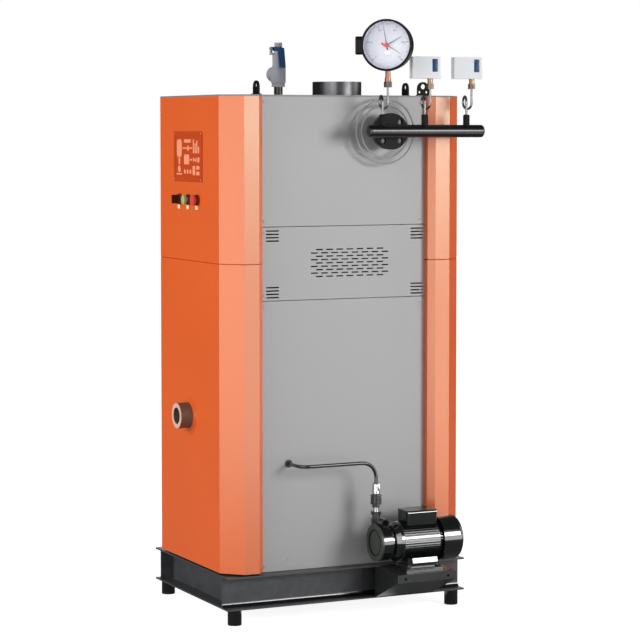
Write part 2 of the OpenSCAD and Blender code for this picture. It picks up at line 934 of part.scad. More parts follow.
module pipe_rosettes() {
    color([0.62, 0.62, 0.62]) {
        difference() {
            union() {
                rod_x([side_x, nozzle_y, nozzle_z], ros_out, ros_t);
                rod_x([side_x, nozzle_y, nozzle_z], ros_in, ros_t * 2);
            }
            rod_x([side_x - over, nozzle_y, nozzle_z], nozzle_r + seat, ros_t * 4);
        }
        difference() {
            union() {
                rod_y([socket_x, -half_d - ros_t, socket_z], ros_front, ros_t);
                rod_y([socket_x, -half_d - ros_t * 2, socket_z], ros_front * 0.85, ros_t * 2);
            }
            rod_y([socket_x, -half_d - ros_t * 4, socket_z], socket_r + run_fit, ros_t * 6);
        }
    }
}

module level_probes() {
    color([0.6, 0.6, 0.6])
    at_probes() {
        translate([0, 0, seat])
        cylinder(r = probe_hole * 1.9, h = plate_t, $fn = 6);
        cylinder(r = probe_hole * 1.2, h = plate_t * 2.4);
        translate([0, 0, -vessel_r])
        cylinder(r = probe_hole * 0.4, h = vessel_r + plate_t);
    }
}

/* Header, siphons, gauge, switches */

module header() {
    hx0 = flange_x - flange_t;
    r = header_r;
    color([0.05, 0.05, 0.05])
    difference() {
        union() {
            translate([hx0, nozzle_y, nozzle_z]) steam_flange();
            rod_x([hx0 + over, nozzle_y, nozzle_z], nozzle_r, header_x - hx0 - over);
            rod_y([header_x, header_y0 + r / 2, nozzle_z + over], r, header_y1 - header_y0 - r);
            for (y = [header_y0 + r / 2, header_y1 - r / 2])
                translate([header_x, y, nozzle_z + over])
                scale([1, 0.5, 1])
                sphere(r = r);
            for (i = [0 : 2]) {
                rod_z([header_x, stub_y + i * stub_pitch, nozzle_z], stub_r, stub_top - stub_r * 0.3 - nozzle_z);
                translate([header_x, stub_y + i * stub_pitch, stub_top - stub_r * 0.3])
                cylinder(r1 = stub_r, r2 = stub_r * 0.7, h = stub_r * 0.3);
            }
        }
        rod_x([hx0 - over, nozzle_y, nozzle_z], nozzle_bore, header_x - hx0 + over);
        rod_y([header_x, header_y0 + r / 2, nozzle_z + over], r * 0.75, header_y1 - header_y0 - r);
        for (i = [0 : 2])
            rod_z([header_x, stub_y + i * stub_pitch, nozzle_z], siphon_r + run_fit, stub_top);
    }
}

// Half a siphon loop between two points, over the top or under
module half_loop(a, b, up, r) {
    m = (a + b) / 2;
    d = b - a;
    translate(m)
    rotate([0, 0, atan2(d[1], d[0])])
    rotate([up ? 90 : -90, 0, 0])
    bend(norm(d) / 2, r, 180);
}

siphon_in = siphon_r * 0.6;

module siphon_tube(r) {
    a = [header_x, 0, siphon_z];
    b = [header_x - siphon_loop * 2, siphon_step / 2, siphon_z];
    c = [header_x, siphon_step, siphon_z];
    rod_z([header_x, 0, stub_top - stub_r], r, siphon_z - stub_top + stub_r);
    half_loop(a, b, true, r);
    half_loop(b, c, false, r);
    for (p = [a, b, c])
        rod_z(p - [0, 0, siphon_r * 0.4], r * 1.14, siphon_r * 0.8);
    rod_z(c, r, siphon_top - siphon_z + stub_r);
}

module siphons() {
    color([0.75, 0.75, 0.76])
    for (i = [0 : 2])
        translate([0, stub_y + i * stub_pitch, 0])
        difference() {
            siphon_tube(siphon_r);
            siphon_tube(siphon_in);
        }
}

grommet_r = feed_r * 1.7;
grommet_w = feed_r * 0.5;

module seals() {
    color([0.12, 0.12, 0.12]) {
        difference() {
            rod_x([nozzle_x0 + flange_t, nozzle_y, nozzle_z], flange_pcr - flange_hole_r - seat * 2, gasket_t);
            rod_x([nozzle_x0 + flange_t - over, nozzle_y, nozzle_z], nozzle_bore, gasket_t + over * 2);
        }
        difference() {
            union() {
                rod_x([side_x - sheet, feed_y, feed_z], grommet_r - run_fit, sheet);
                rod_x([side_x, feed_y, feed_z], grommet_r * 1.25, grommet_w);
                rod_x([side_x - sheet - grommet_w, feed_y, feed_z], grommet_r * 1.25, grommet_w);
            }
            rod_x([side_x - sheet * 4, feed_y, feed_z], feed_r + run_fit, sheet * 8);
        }
    }
}

gauge_y = stub_y + siphon_step;
hex_h = 17;
stem_z0 = siphon_top + hex_h;

// Places its child with +Z out of the gauge face and +X down
module at_gauge() {
    translate([header_x, gauge_y, gauge_z])
    rotate([0, 0, -gauge_turn])
    rotate([0, 90, 0])
    children();
}

module gauge_stem() {
    stem_top = gauge_z - case_r - seat;
    color([0.72, 0.5, 0.22])
    difference() {
        union() {
            hex_z([header_x, gauge_y, siphon_top], stem_r * 2.6, hex_h);
            rod_z([header_x, gauge_y, stem_z0 - over], stem_r * 1.2, stem_r * 1.6);
            rod_z([header_x, gauge_y, stem_z0 - over], stem_r, stem_top - stem_z0 + over);
        }
        rod_z([header_x, gauge_y, siphon_top - over], siphon_r + run_fit, hex_h);
    }
}

case_r = gauge_r * 0.95;
box_in = gauge_r * 0.78;
box_out = 97;
box_h = 54;

module gauge_case() {
    color([0.1, 0.1, 0.1])
    at_gauge()
    difference() {
        union() {
            translate([0, 0, -gauge_back])
            cylinder(r = case_r, h = gauge_front + gauge_back * 0.8, $fn = 96);
            translate([0, 0, gauge_front * 0.38])
            cylinder(r = gauge_r, h = gauge_front * 0.62, $fn = 96);
            soft_box_y([-box_h / 2, -box_out, -gauge_back * 0.9], [box_h / 2, -box_in, gauge_front * 0.5], box_h * 0.16);
        }
        translate([0, 0, -gauge_back * 0.9])
        cylinder(r = dial_r + seat, h = gauge_back * 0.9 + gauge_front + over, $fn = 96);
    }
    color([0.1, 0.1, 0.1])
    at_gauge()
    translate([0, 0, -gauge_back * 0.95])
    cylinder(r = hub_r, h = gauge_back * 0.95 + hand_z);
}

// A box rounded seen along Y
module soft_box_y(lo, hi, r) {
    translate([0, hi[1], 0])
    rotate([90, 0, 0])
    soft_box([lo[0], lo[2], 0], [hi[0], hi[2], hi[1] - lo[1]], r);
}

dial_z = gauge_front * 0.3;
dial_t = 1.5;
hand_z = gauge_front * 0.78;
hand_t = 0.8;
hub_r = 2;
hub_out = hub_r * 2.4;
step_z = hand_t * 2.2;

module gauge_dial() {
    color([0.93, 0.93, 0.9])
    at_gauge()
    difference() {
        union() {
            translate([0, 0, dial_z])
            cylinder(r = dial_r, h = dial_t, $fn = 96);
            translate([dial_r * 0.5, 0, dial_z])
            linear_extrude(height = dial_t * 2)
            polygon([
                [-dial_r * 0.12, -dial_r * 0.2],
                [dial_r * 0.12, -dial_r * 0.27],
                [dial_r * 0.12, dial_r * 0.27],
                [-dial_r * 0.12, dial_r * 0.2]
            ]);
        }
        translate([0, 0, dial_z - over])
        cylinder(r = hub_r + run_fit, h = dial_t + over * 2);
    }
}

module gauge_glass() {
    color([0.8, 0.85, 0.9, 0.3])
    at_gauge()
    translate([0, 0, gauge_front * 0.88])
    cylinder(r = dial_r, h = dial_t, $fn = 96);
}

// A hand that points up and turns on the hub pin
module hand(z, len, tail, wide, a) {
    at_gauge()
    rotate([0, 0, a])
    difference() {
        union() {
            translate([0, 0, z])
            cylinder(r = hub_out, h = hand_t);
            translate([0, 0, z])
            linear_extrude(height = hand_t)
            polygon([[tail, -wide], [tail, wide], [-len, wide * 0.3], [-len, -wide * 0.3]]);
        }
        translate([0, 0, z - over])
        cylinder(r = hub_r + run_fit, h = hand_t + over * 2);
    }
}

module gauge_pointer() {
    color([0.05, 0.05, 0.05])
    hand(hand_z - hand_t - seat, dial_r * 0.8, dial_r * 0.22, hub_r * 0.9, 10);
}

module gauge_low_hand() {
    color([0.5, 0.16, 0.1])
    hand(hand_z - step_z * 2, dial_r * 0.74, dial_r * 0.08, hub_r * 0.7, -122);
}

module gauge_high_hand() {
    color([0.5, 0.16, 0.1])
    hand(hand_z - step_z * 3, dial_r * 0.72, dial_r * 0.08, hub_r * 0.8, -60);
}

switch_left = switch_w * 0.66;
fit_top = switch_z;

// One switch box, window and brass fitting, on the siphon with number i
module pressure_switch(i) {
    fy = stub_y + i * stub_pitch + siphon_step;
    color([0.92, 0.92, 0.91])
    difference() {
        translate([header_x, fy, switch_z])
        rotate([0, 0, -switch_turn])
        difference() {
            soft_box([-switch_d / 2, -switch_left, 0], [switch_d / 2, switch_w - switch_left, switch_h], switch_d * 0.1);
            block(
                [switch_d / 2 - sheet, switch_w * 0.03, switch_h * 0.3],
                [switch_d / 2 + over, switch_w * 0.21, switch_h * 0.89]
            );
        }
        rod_z([header_x, fy, switch_z - over], stem_r * 0.6, over * 3);
    }
    color([0.72, 0.5, 0.22])
    difference() {
        union() {
            rod_z([header_x, fy, switch_z - stem_r * 2], stem_r, stem_r * 2.2);
            hex_z([header_x, fy, siphon_top - stem_r * 0.4], stem_r * 2.4, stem_r * 2);
        }
        rod_z([header_x, fy, siphon_top - stem_r], siphon_r + run_fit, stem_r * 3);
    }
}

module pressure_switch_1() {
    pressure_switch(1);
}

module pressure_switch_2() {
    pressure_switch(2);
}

/* Safety valve */

hex_z0 = valve_z;
hex_z1 = valve_z + riser_r;
chamber_h = 58;
bonnet_h = 110;
outlet_h = 39;
chamber_z1 = valve_z + chamber_h;
bonnet_z1 = valve_z + bonnet_h;
bonnet_r = riser_r * 1.35;
neck_r = riser_r * 0.98;
neck_h = valve_r * 0.46;
spring_r = riser_r * 0.72;
spindle_r = riser_r * 0.24;
seat_z = valve_z + riser_r * 1.2;
pin_z = bonnet_z1 + riser_r * 0.62;
pin_r = riser_r * 0.2;
pin_len = riser_r * 1.25;
outlet_z = valve_z + outlet_h;
outlet_bore = outlet_r * 0.5;
cap_r = riser_r * 0.91;
cap_z0 = pin_z + riser_r * 0.42;
cap_h = riser_r * 0.9;

module valve_body() {
    color([0.55, 0.5, 0.42])
    difference() {
        union() {
            hex_z([0, valve_y, hex_z0], valve_r * 1.55, hex_z1 - hex_z0);
            rod_z([0, valve_y, hex_z1 - over], valve_r, chamber_z1 - hex_z1 + over);
            rod_x([-outlet_l, valve_y, outlet_z], outlet_r, outlet_l);
            rod_z([0, valve_y, chamber_z1 - over], bonnet_r, bonnet_z1 - chamber_z1 - neck_h + over);
            rod_z([0, valve_y, bonnet_z1 - neck_h - over], neck_r, neck_h + over);
            rod_z([0, valve_y, chamber_z1 - over], valve_r * 0.88, valve_r * 0.3);
            for (s = [-1, 1])
                block(
                    [-lever_arm - pin_r * 2, valve_y + s * pin_len - pin_r, bonnet_z1 - valve_r * 0.5],
                    [-lever_arm + pin_r * 2, valve_y + s * pin_len + pin_r, pin_z + pin_r * 2]
                );
            block(
                [-lever_arm - pin_r * 2, valve_y - pin_len - pin_r, bonnet_z1 - valve_r * 0.5],
                [0, valve_y + pin_len + pin_r, bonnet_z1 - valve_r * 0.25]
            );
            rod_y([-lever_arm, valve_y - pin_len - pin_r * 2, pin_z], pin_r, pin_len * 2 + pin_r * 4);
        }
        rod_z([0, valve_y, hex_z0 - over], riser_r * 0.7, seat_z - hex_z0 + over);
        rod_z([0, valve_y, seat_z], valve_r * 0.68, chamber_z1 - seat_z - spindle_r * 2);
        rod_z([0, valve_y, chamber_z1 - spindle_r * 3], spindle_r + run_fit, spindle_r * 4);
        rod_z([0, valve_y, chamber_z1 + spindle_r], spring_r + seat, bonnet_z1 - chamber_z1 - spindle_r * 2.5);
        rod_z([0, valve_y, bonnet_z1 - spindle_r * 2], spindle_r + run_fit, spindle_r * 3);
        rod_x([-outlet_l - over, valve_y, outlet_z], outlet_bore, outlet_l - valve_r * 0.4);
    }
}

module valve_spindle() {
    color([0.6, 0.55, 0.4]) {
        rod_z([0, valve_y, seat_z + seat], riser_r * 0.95, riser_r * 0.3);
        rod_z([0, valve_y, seat_z + seat], spindle_r, cap_z0 - seat_z);
        rod_z([0, valve_y, cap_z0], cap_r, cap_h);
        rod_z([0, valve_y, chamber_z1 + spindle_r + seat], spring_r, spindle_r);
    }
}

spring_z0 = chamber_z1 + spindle_r * 2 + seat * 2;
spring_z1 = bonnet_z1 - spindle_r * 1.5 - seat;
spring_wire = riser_r * 0.1;
spring_turns = 9;

module valve_spring() {
    pitch = (spring_z1 - spring_z0 - spring_wire * 2) / spring_turns;
    color([0.6, 0.6, 0.6])
    for (i = [0 : spring_turns])
        translate([0, valve_y, spring_z0 + spring_wire + i * pitch])
        rotate_extrude($fn = 24)
        translate([spring_r - spring_wire * 2, 0])
        circle(r = spring_wire, $fn = 8);
    color([0.6, 0.6, 0.6])
    for (a = [0, 90, 180, 270])
        rod_z(
            [(spring_r - spring_wire * 2) * cos(a), valve_y + (spring_r - spring_wire * 2) * sin(a), spring_z0 + spring_wire],
            spring_wire * 0.6,
            spring_z1 - spring_z0 - spring_wire * 2
        );
}

grip_x0 = valve_r * 0.85;
grip_x1 = valve_r * 1.5;
grip_w = 10;
grip_t = 3;
grip_z0 = chamber_z1;
arm_z0 = bonnet_z1 + seat;
pad_r = riser_r * 0.28;
arm_z1 = cap_z0 - seat - pad_r;

module valve_lever() {
    color([0.1, 0.24, 0.42])
    difference() {
        union() {
            rod_y([-lever_arm, valve_y - pin_len + pin_r + seat, pin_z], pin_r * 2, (pin_len - pin_r - seat) * 2);
            block([-lever_arm, valve_y - grip_w, arm_z0], [grip_x0 + grip_t, valve_y + grip_w, arm_z1]);
            rod_y([0, valve_y - grip_w, arm_z1], pad_r, grip_w * 2);
            translate([0, valve_y + grip_w, 0])
            rotate([90, 0, 0])
            linear_extrude(height = grip_w * 2)
            polygon([
                [grip_x0 - grip_t, arm_z1],
                [grip_x0 - grip_t, arm_z0],
                [grip_x1 - grip_t, grip_z0],
                [grip_x1, grip_z0],
                [grip_x0 + grip_t, arm_z1]
            ]);
        }
        rod_y([-lever_arm, valve_y - pin_len, pin_z], pin_r + run_fit, pin_len * 2);
        rod_z([0, valve_y, arm_z0 - over], spindle_r * 1.9, arm_z1 - arm_z0 + pad_r + over * 2);
    }
}

/* Front fittings */

disp_lap = 7;
disp_t = 2;

module display_panel() {
    color([0.8, 0.33, 0.14])
    difference() {
        union() {
            block([disp_x0, -half_d - disp_t, disp_z0], [disp_x1, -half_d, disp_z1]);
            block(
                [disp_x0 + disp_lap + seat, -half_d - over, disp_z0 + disp_lap + seat],
                [disp_x1 - disp_lap - seat, -half_d + sheet, disp_z1 - disp_lap - seat]
            );
        }
        block(
            [disp_x0 + disp_lap * 2, -half_d - disp_t - over, disp_z0 + disp_lap * 2],
            [disp_x1 - disp_lap * 2, -half_d - disp_t * 0.6, disp_z1 - disp_lap * 2]
        );
    }
}

bezel_t = 6;
stem_in = 14;
label_w = 20;
label_h = 15;
label_t = 1;

module control_bezels() {
    color([0.2, 0.2, 0.2])
    for (i = [-1, 0, 1])
        difference() {
            union() {
                rod_y([i * ctrl_pitch, -half_d - bezel_t, ctrl_z], bezel_r, bezel_t);
                rod_y([i * ctrl_pitch, -half_d - over, ctrl_z], stem_hole - run_fit, stem_in);
            }
            rod_y([i * ctrl_pitch, -half_d - bezel_t - over, ctrl_z], stem_hole * 0.75, bezel_t + stem_in * 2);
        }
    color([0.85, 0.83, 0.75])
    for (i = [-1, 0, 1])
        block(
            [i * ctrl_pitch - label_w * 0.9, -half_d - label_t, ctrl_z - label_h * 1.95],
            [i * ctrl_pitch + label_w * 0.1, -half_d, ctrl_z - bezel_r - seat]
        );
}

knob_out = 21;
button_r = 14;
stop_r = 16.5;
button_out = 14;
stop_out = 13;

module selector_knob() {
    color([0.08, 0.08, 0.08]) {
        rod_y([-ctrl_pitch, -half_d - bezel_t - seat - bezel_t * 0.7, ctrl_z], button_r, bezel_t * 0.7);
        rod_y([-ctrl_pitch, -half_d - bezel_t - over, ctrl_z], stem_hole * 0.75 - run_fit, bezel_t + stem_in);
        block(
            [-ctrl_pitch - button_r * 0.28, -half_d - bezel_t - knob_out, ctrl_z - button_r * 0.95],
            [-ctrl_pitch + button_r * 0.28, -half_d - bezel_t - seat - over, ctrl_z + button_r * 0.95]
        );
    }
}

module push_button(x, r, out) {
    y1 = -half_d - bezel_t;
    rod_y([x, y1 - out, ctrl_z], r, out * 0.55);
    rod_y([x, y1 - out * 0.5, ctrl_z], stem_hole * 0.75 - run_fit, stem_in + bezel_t + out * 0.3);
}

module start_button() {
    color([0.1, 0.5, 0.2])
    push_button(0, button_r, button_out);
}

module stop_button() {
    color([0.7, 0.08, 0.08])
    push_button(ctrl_pitch, stop_r, stop_out);
}

cbox_x = 150;
cbox_d = 62;
cbox_under = 45;
cbox_over = 22;
cbox_z0 = ctrl_z - cbox_under;
cbox_z1 = disp_z1 + cbox_over;

module control_box() {
    y0 = -half_d + sheet;
    color([0.5, 0.5, 0.5])
    difference() {
        block([-cbox_x, y0, cbox_z0], [cbox_x, y0 + cbox_d, cbox_z1]);
        block([-cbox_x + sheet, y0 - over, cbox_z0 + sheet], [cbox_x - sheet, y0 + cbox_d - sheet, cbox_z1 - sheet]);
    }
}

/* Burner */

burn_in = 20;
burn_l = 150;
blow_in = 76;
burn_y0 = -half_d + burn_in;
burn_y1 = burn_y0 + burn_l;
burn_w = 85;
burn_h = 80;
burn_t = 4;
wheel_r = 62;
wheel_w = 50;
blow_y = burn_y0 + blow_in;

module burner() {
    color([0.25, 0.3, 0.35])
    difference() {
        union() {
            block([-burn_w, burn_y0, throat_z - burn_h], [burn_w, burn_y1, throat_z + burn_h]);
            rod_y([0, burn_y1 - over, throat_z], throat_r - tube_t - run_fit, vessel_y - vessel_r - burn_y1 + over);
            rod_x([burn_w - over, blow_y, throat_z], burn_h * 0.5, burn_w * 0.9);
        }
        block(
            [-burn_w + burn_t, burn_y0 + burn_t, throat_z - burn_h + burn_t],
            [burn_w - burn_t, burn_y1 - burn_t, throat_z + burn_h - burn_t]
        );
        rod_y([0, burn_y1 - burn_t - over, throat_z], throat_r - tube_t * 2.5, vessel_r * 2);
        rod_x([burn_w - burn_t - over, blow_y, throat_z], shaft_r + run_fit, burn_w * 0.7);
        rod_x([burn_w + burn_t, blow_y, throat_z], burn_h * 0.44, burn_w * 0.75);
    }
    for (x = [-burn_w * 0.7, burn_w * 0.7])
        color([0.25, 0.3, 0.35])
        rod_z([x, -post_y - post / 2, base_top], leg_r / 2, throat_z - burn_h - base_top + over);
}

module burner_fan() {
    color([0.45, 0.45, 0.45]) {
        rod_x([-wheel_w / 2, blow_y, throat_z], shaft_r, burn_w + burn_w * 0.7);
        rod_x([wheel_w / 2 - burn_t, blow_y, throat_z], wheel_r, burn_t);
        difference() {
            rod_x([-wheel_w / 2, blow_y, throat_z], wheel_r, burn_t);
            rod_x([-wheel_w / 2 - over, blow_y, throat_z], wheel_r * 0.72, burn_t + over * 2);
        }
        for (i = [0 : 23])
            translate([0, blow_y, throat_z])
            rotate([i * 15, 0, 0])
            block([-wheel_w / 2, -burn_t / 4, wheel_r * 0.76], [wheel_w / 2, burn_t / 4, wheel_r - seat]);
    }
}

/* Feed line */

feed_in_x = 120;

// The whole run of the feed tube, given its radius
module feed_run(r) {
    b1 = feed_bend1;
    b2 = feed_bend2;
    rod_y([feed_in_x, feed_y + b1, feed_z], r, -feed_y - b1 + vessel_y - vessel_r * 0.79);
    translate([feed_in_x + b1, feed_y + b1, feed_z])
    rotate([0, 0, 180])
    bend(b1, r, 90);
    rod_x([feed_in_x + b1, feed_y, feed_z], r, feed_x - feed_in_x - b1 * 2);
    translate([feed_x - b1, feed_y + b1, feed_z])
    rotate([0, 0, -90])
    bend(b1, r, 90);
    rod_y([feed_x, feed_y + b1, feed_z], r, stack_y - b2 - feed_y - b1);
    translate([feed_x, stack_y - b2, feed_z - b2])
    rotate([90, 0, 90])
    bend(b2, r, 90);
    rod_z([feed_x, stack_y, nut_z0], r, feed_z - b2 - nut_z0);
}

module feed_tube() {
    color([0.07, 0.07, 0.07])
    difference() {
        feed_run(feed_r);
        feed_run(feed_bore);
    }
}

stack_z0 = 302;
stack_h = 82;
stack_r = 14.5;
nut_z0 = stack_z0 + stack_h;
nut_h = 25;
nut_r = 11;
rib_pitch = 5;
rib_h = 2.5;
wing_w = 7;
wing_l = 18;
wing_h = 9;

// Start height, radius and height of each step of the stack
stack_shares = [
    [0, 0.83, 0.134],
    [0.122, 0.86, 0.122],
    [0.232, 0.62, 0.17],
    [0.39, 0.76, 0.17],
    [0.549, 0.9, 0.317],
    [0.854, 0.69, 0.061],
    [0.902, 0.83, 0.098]
];

rib_n = 5;
rib_z = stack_z0 + stack_h * 0.561;

module check_valve() {
    color([0.2, 0.2, 0.2])
    difference() {
        union() {
            for (q = stack_shares)
                rod_z([feed_x, stack_y, stack_z0 + stack_h * q[0]], stack_r * q[1], stack_h * q[2]);
            for (a = [0 : 3])
                translate([feed_x, stack_y, stack_z0 + stack_h * 0.13])
                rotate([0, 0, a * 90 + 20])
                block([0, -wing_w / 2, 0], [wing_l, wing_w / 2, wing_h]);
            for (k = [0 : rib_n - 1])
                rod_z([feed_x, stack_y, rib_z + k * rib_pitch], stack_r, rib_h);
            hex_z([feed_x, stack_y, nut_z0 - over], nut_r * 1.77, nut_h * 0.84);
            translate([feed_x, stack_y, nut_z0 + nut_h * 0.76])
            cylinder(r1 = nut_r * 0.84, r2 = nut_r * 0.64, h = nut_h * 0.24);
        }
        rod_z([feed_x, stack_y, nut_z0], feed_r + run_fit, nut_h * 2);
        rod_z([feed_x, stack_y, stack_z0 - over], feed_bore, nut_z0);
    }
}

/* Pump and motor */

cover_t = 6;
cover_r = 55.8;
recess_r = 38;
cavity_in = 12;
cavity_w = 12;
seal_in = 5;
cavity_y0 = pump_y0 + cavity_in;
cavity_y1 = cavity_y0 + cavity_w;
cavity_r = head_r * 0.82;
boss_r = 15;
port_y = 74;
port_z = 290;
port_x1 = 388;
port_r = 13.5;
port_bore = 10.5;
port_depth = 18;
seal_y = head_y1 - seal_in;

module pump_head() {
    color([0.05, 0.05, 0.05])
    difference() {
        union() {
            rod_y([pump_x, pump_y0 + cover_t + seat, pump_z], head_r, head_y1 - pump_y0 - cover_t - seat);
            rod_z([feed_x, stack_y, pump_z + cover_r], boss_r, stack_z0 - pump_z - cover_r);
            rod_x([feed_x + boss_r * 0.87, port_y, port_z], port_r, port_x1 - feed_x - boss_r * 0.87);
            block(
                [feed_x - boss_r * 0.9, pump_y0 + cover_t + over, pump_z + head_r * 0.5],
                [feed_x + boss_r * 2.4, port_y + port_r * 0.8, port_z - port_r * 0.3]
            );
            rod_y([pump_x, head_y1 - over, pump_z], head_r * 0.74, bell_y0 - head_y1 + over - seat);
            rod_y([pump_x, head_y1 - over, pump_z], head_r * 0.92, bracket_t + over);
            for (a = [45, 135, 225, 315])
                translate([pump_x, 0, pump_z])
                rotate([0, a, 0])
                block([-bracket_t, head_y1 - over, 0], [bracket_t, bell_y0 - seat * 4, head_r * 0.95]);
        }
        rod_y([pump_x, pump_y0, pump_z], cavity_r * 0.7, cavity_y0 - pump_y0 + over);
        rod_y([pump_x, cavity_y0, pump_z], cavity_r, cavity_y1 - cavity_y0);
        rod_y([pump_x, cavity_y0, pump_z], shaft_r + run_fit, bell_y0);
        rod_y([pump_x, seal_y, pump_z], shaft_r * 2.2, bell_y0);
        rod_z([feed_x, stack_y, pump_z + head_r * 0.4], feed_bore * 1.2, stack_z0);
        rod_x([port_x1 - port_depth, port_y, port_z], port_bore, port_depth + over);
        rod_z([port_x1 - port_depth, port_y, pump_z + head_r * 0.4], feed_bore * 1.2, port_z - pump_z - head_r * 0.4);
    }
}

module pump_cover() {
    color([0.05, 0.05, 0.05])
    difference() {
        union() {
            rod_y([pump_x, pump_y0, pump_z], cover_r, cover_t);
            rod_y([pump_x, pump_y0, pump_z], cavity_r * 0.7 - run_fit, cavity_y0 - pump_y0 - seat);
        }
        rod_y([pump_x, pump_y0 - over, pump_z], recess_r, cover_t / 2 + over);
    }
}

module pump_impeller() {
    w = cavity_y1 - cavity_y0 - seat * 4;
    y0 = cavity_y0 + seat * 2;
    color([0.7, 0.55, 0.3])
    difference() {
        rod_y([pump_x, y0, pump_z], cavity_r - seat * 2, w);
        for (i = [0 : 17])
            translate([pump_x, 0, pump_z])
            rotate([0, i * 20, 0])
            for (y = [y0 - over, y0 + w * 0.65])
                block([-bracket_t / 2, y, cavity_r * 0.82], [bracket_t / 2, y + w * 0.35 + over, cavity_r]);
        rod_y([pump_x, y0 - over, pump_z], shaft_r, w + over * 2);
    }
}

bear_t = 10;
bear_r = 17.5;
plate_m = 5;

module motor_housing() {
    c = [pump_x, 0, pump_z];
    color([0.05, 0.05, 0.05])
    difference() {
        union() {
            translate([pump_x, bell_y0, pump_z])
            rotate([-90, 0, 0])
            cylinder(r1 = fin_r * 0.78, r2 = fin_r * 0.97, h = bell_l * 0.6);
            rod_y([pump_x, bell_y0 + bell_l * 0.6 - over, pump_z], fin_r * 0.97, bell_l * 0.4 + over * 2);
            rod_y([pump_x, motor_y0, pump_z], shell_r, motor_y1 - motor_y0);
            difference() {
                for (i = [0 : 47])
                    translate(c)
                    rotate([0, i * 7.5, 0])
                    block([-sheet * 0.55, motor_y0, shell_r - over], [sheet * 0.55, motor_y1 - over * 3, fin_r]);
                block([box_x0 - sheet, box_y0 - sheet, box_z0], [box_x0 + box_w + sheet, box_y1 + sheet, box_z1]);
            }
            block([pump_x - foot_w, foot_y0, foot_z0], [pump_x + foot_w, foot_y1, foot_z0 + foot_t]);
            block([pump_x - foot_w * 0.72, foot_y0 + foot_t, foot_z0], [pump_x + foot_w * 0.72, foot_y1 - foot_t, pump_z - shell_r * 0.7]);
        }
        rod_y([pump_x, bell_y0 + plate_m + bear_t, pump_z], shell_r - furnace_t * 0.5, motor_y1 - bell_y0 - plate_m * 2 - bear_t * 2);
        rod_y([pump_x, bell_y0 + plate_m, pump_z], bear_r + run_fit, bear_t + over);
        rod_y([pump_x, motor_y1 - plate_m - bear_t - over, pump_z], bear_r + run_fit, bear_t + over);
        rod_y([pump_x, bell_y0 - over, pump_z], shaft_r * 1.3, motor_y1);
        for (x = [pump_x - foot_w * 0.86, pump_x + foot_w * 0.86], y = [foot_y0 + foot_t, foot_y1 - foot_t])
            rod_z([x, y, foot_z0 - over], foot_hole, foot_t + over * 2);
    }
}

bell_l = motor_y0 - bell_y0;
foot_in = 13;
foot_past = 5;
foot_y0 = motor_y0 + foot_in;
foot_y1 = motor_y1 + foot_past;
foot_z0 = 141;
foot_t = 10;
foot_w = 45;
foot_hole = 4;
box_dx = 32;
box_w = 66;
saddle_in = 19.5;
box_back = 7;
box_x0 = pump_x - box_dx;
box_y0 = motor_y0 + saddle_in;
box_y1 = motor_y1 - box_back;
box_z0 = pump_z + shell_r * 0.6;
box_z1 = pump_z + shell_r * 1.75;

module motor_stator() {
    y0 = bell_y0 + plate_m + bear_t * 2;
    y1 = motor_y1 - plate_m - bear_t * 2;
    color([0.4, 0.35, 0.3])
    difference() {
        rod_y([pump_x, y0, pump_z], shell_r - furnace_t * 0.5 - run_fit, y1 - y0);
        rod_y([pump_x, y0 - over, pump_z], shell_r * 0.62, y1 - y0 + over * 2);
    }
}

module motor_shaft() {
    y0 = bell_y0 + plate_m + bear_t * 2;
    y1 = motor_y1 - plate_m - bear_t * 2;
    s0 = cavity_y0 + seat * 2;
    color([0.6, 0.6, 0.6]) {
        rod_y([pump_x, s0, pump_z], shaft_r, fan_y1 - s0 - bear_t * 2);
        rod_y([pump_x, y0 + over, pump_z], shell_r * 0.62 - seat * 2, y1 - y0 - over * 2);
        for (y = [bell_y0 + plate_m + seat, motor_y1 - plate_m - bear_t])
            rod_y([pump_x, y, pump_z], bear_r, bear_t - seat);
    }
}

blade_gap = 14;
blade_y0 = motor_y1 + blade_gap;
blade_l = 26;

module motor_fan() {
    color([0.15, 0.15, 0.15])
    difference() {
        union() {
            rod_y([pump_x, blade_y0, pump_z], shaft_r * 1.8, blade_l);
            rod_y([pump_x, blade_y0, pump_z], fan_r * 0.6, bracket_t);
            for (i = [0 : 6])
                translate([pump_x, 0, pump_z])
                rotate([0, i * 360 / 7, 0])
                block([-sheet * 0.7, blade_y0, shaft_r], [sheet * 0.7, blade_y0 + blade_l, fan_r * 0.86]);
        }
        rod_y([pump_x, blade_y0 - over, pump_z], shaft_r, blade_l + over * 2);
    }
}

cowl_r = 14;

// Outer body of the fan cover with a rounded rear edge
module cowl_body(r, y0, y1, c) {
    rod_y([pump_x, y0, pump_z], r, y1 - y0 - c);
    rod_y([pump_x, y0, pump_z], r - c, y1 - y0);
    translate([pump_x, y1 - c, pump_z])
    rotate([-90, 0, 0])
    rotate_extrude()
    translate([r - c, 0])
    circle(r = c);
}

module fan_cover() {
    y0 = motor_y1 + seat * 2;
    color([0.04, 0.04, 0.04])
    difference() {
        cowl_body(fan_r, y0, fan_y1, cowl_r);
        cowl_body(fan_r - sheet, y0 - over, fan_y1 - sheet, cowl_r - sheet);
        for (r = [fan_r * 0.3, fan_r * 0.5, fan_r * 0.7])
            for (i = [0 : 15])
                translate([pump_x, fan_y1 - sheet - over, pump_z])
                rotate([0, i * 22.5, 0])
                block([-sheet, 0, r - sheet * 1.6], [sheet, sheet + over * 2, r + sheet * 1.6]);
        translate([pump_x, y0 - over, pump_z])
        rotate([-90, 0, 0])
        cylinder(r = fan_r - sheet, h = over * 2);
    }
    for (i = [0 : 3])
        color([0.04, 0.04, 0.04])
        translate([pump_x, 0, pump_z])
        rotate([0, i * 90 + 45, 0])
        block([-sheet * 1.5, y0, shell_r * 0.96], [sheet * 1.5, y0 + sheet, fan_r - sheet / 2]);
}

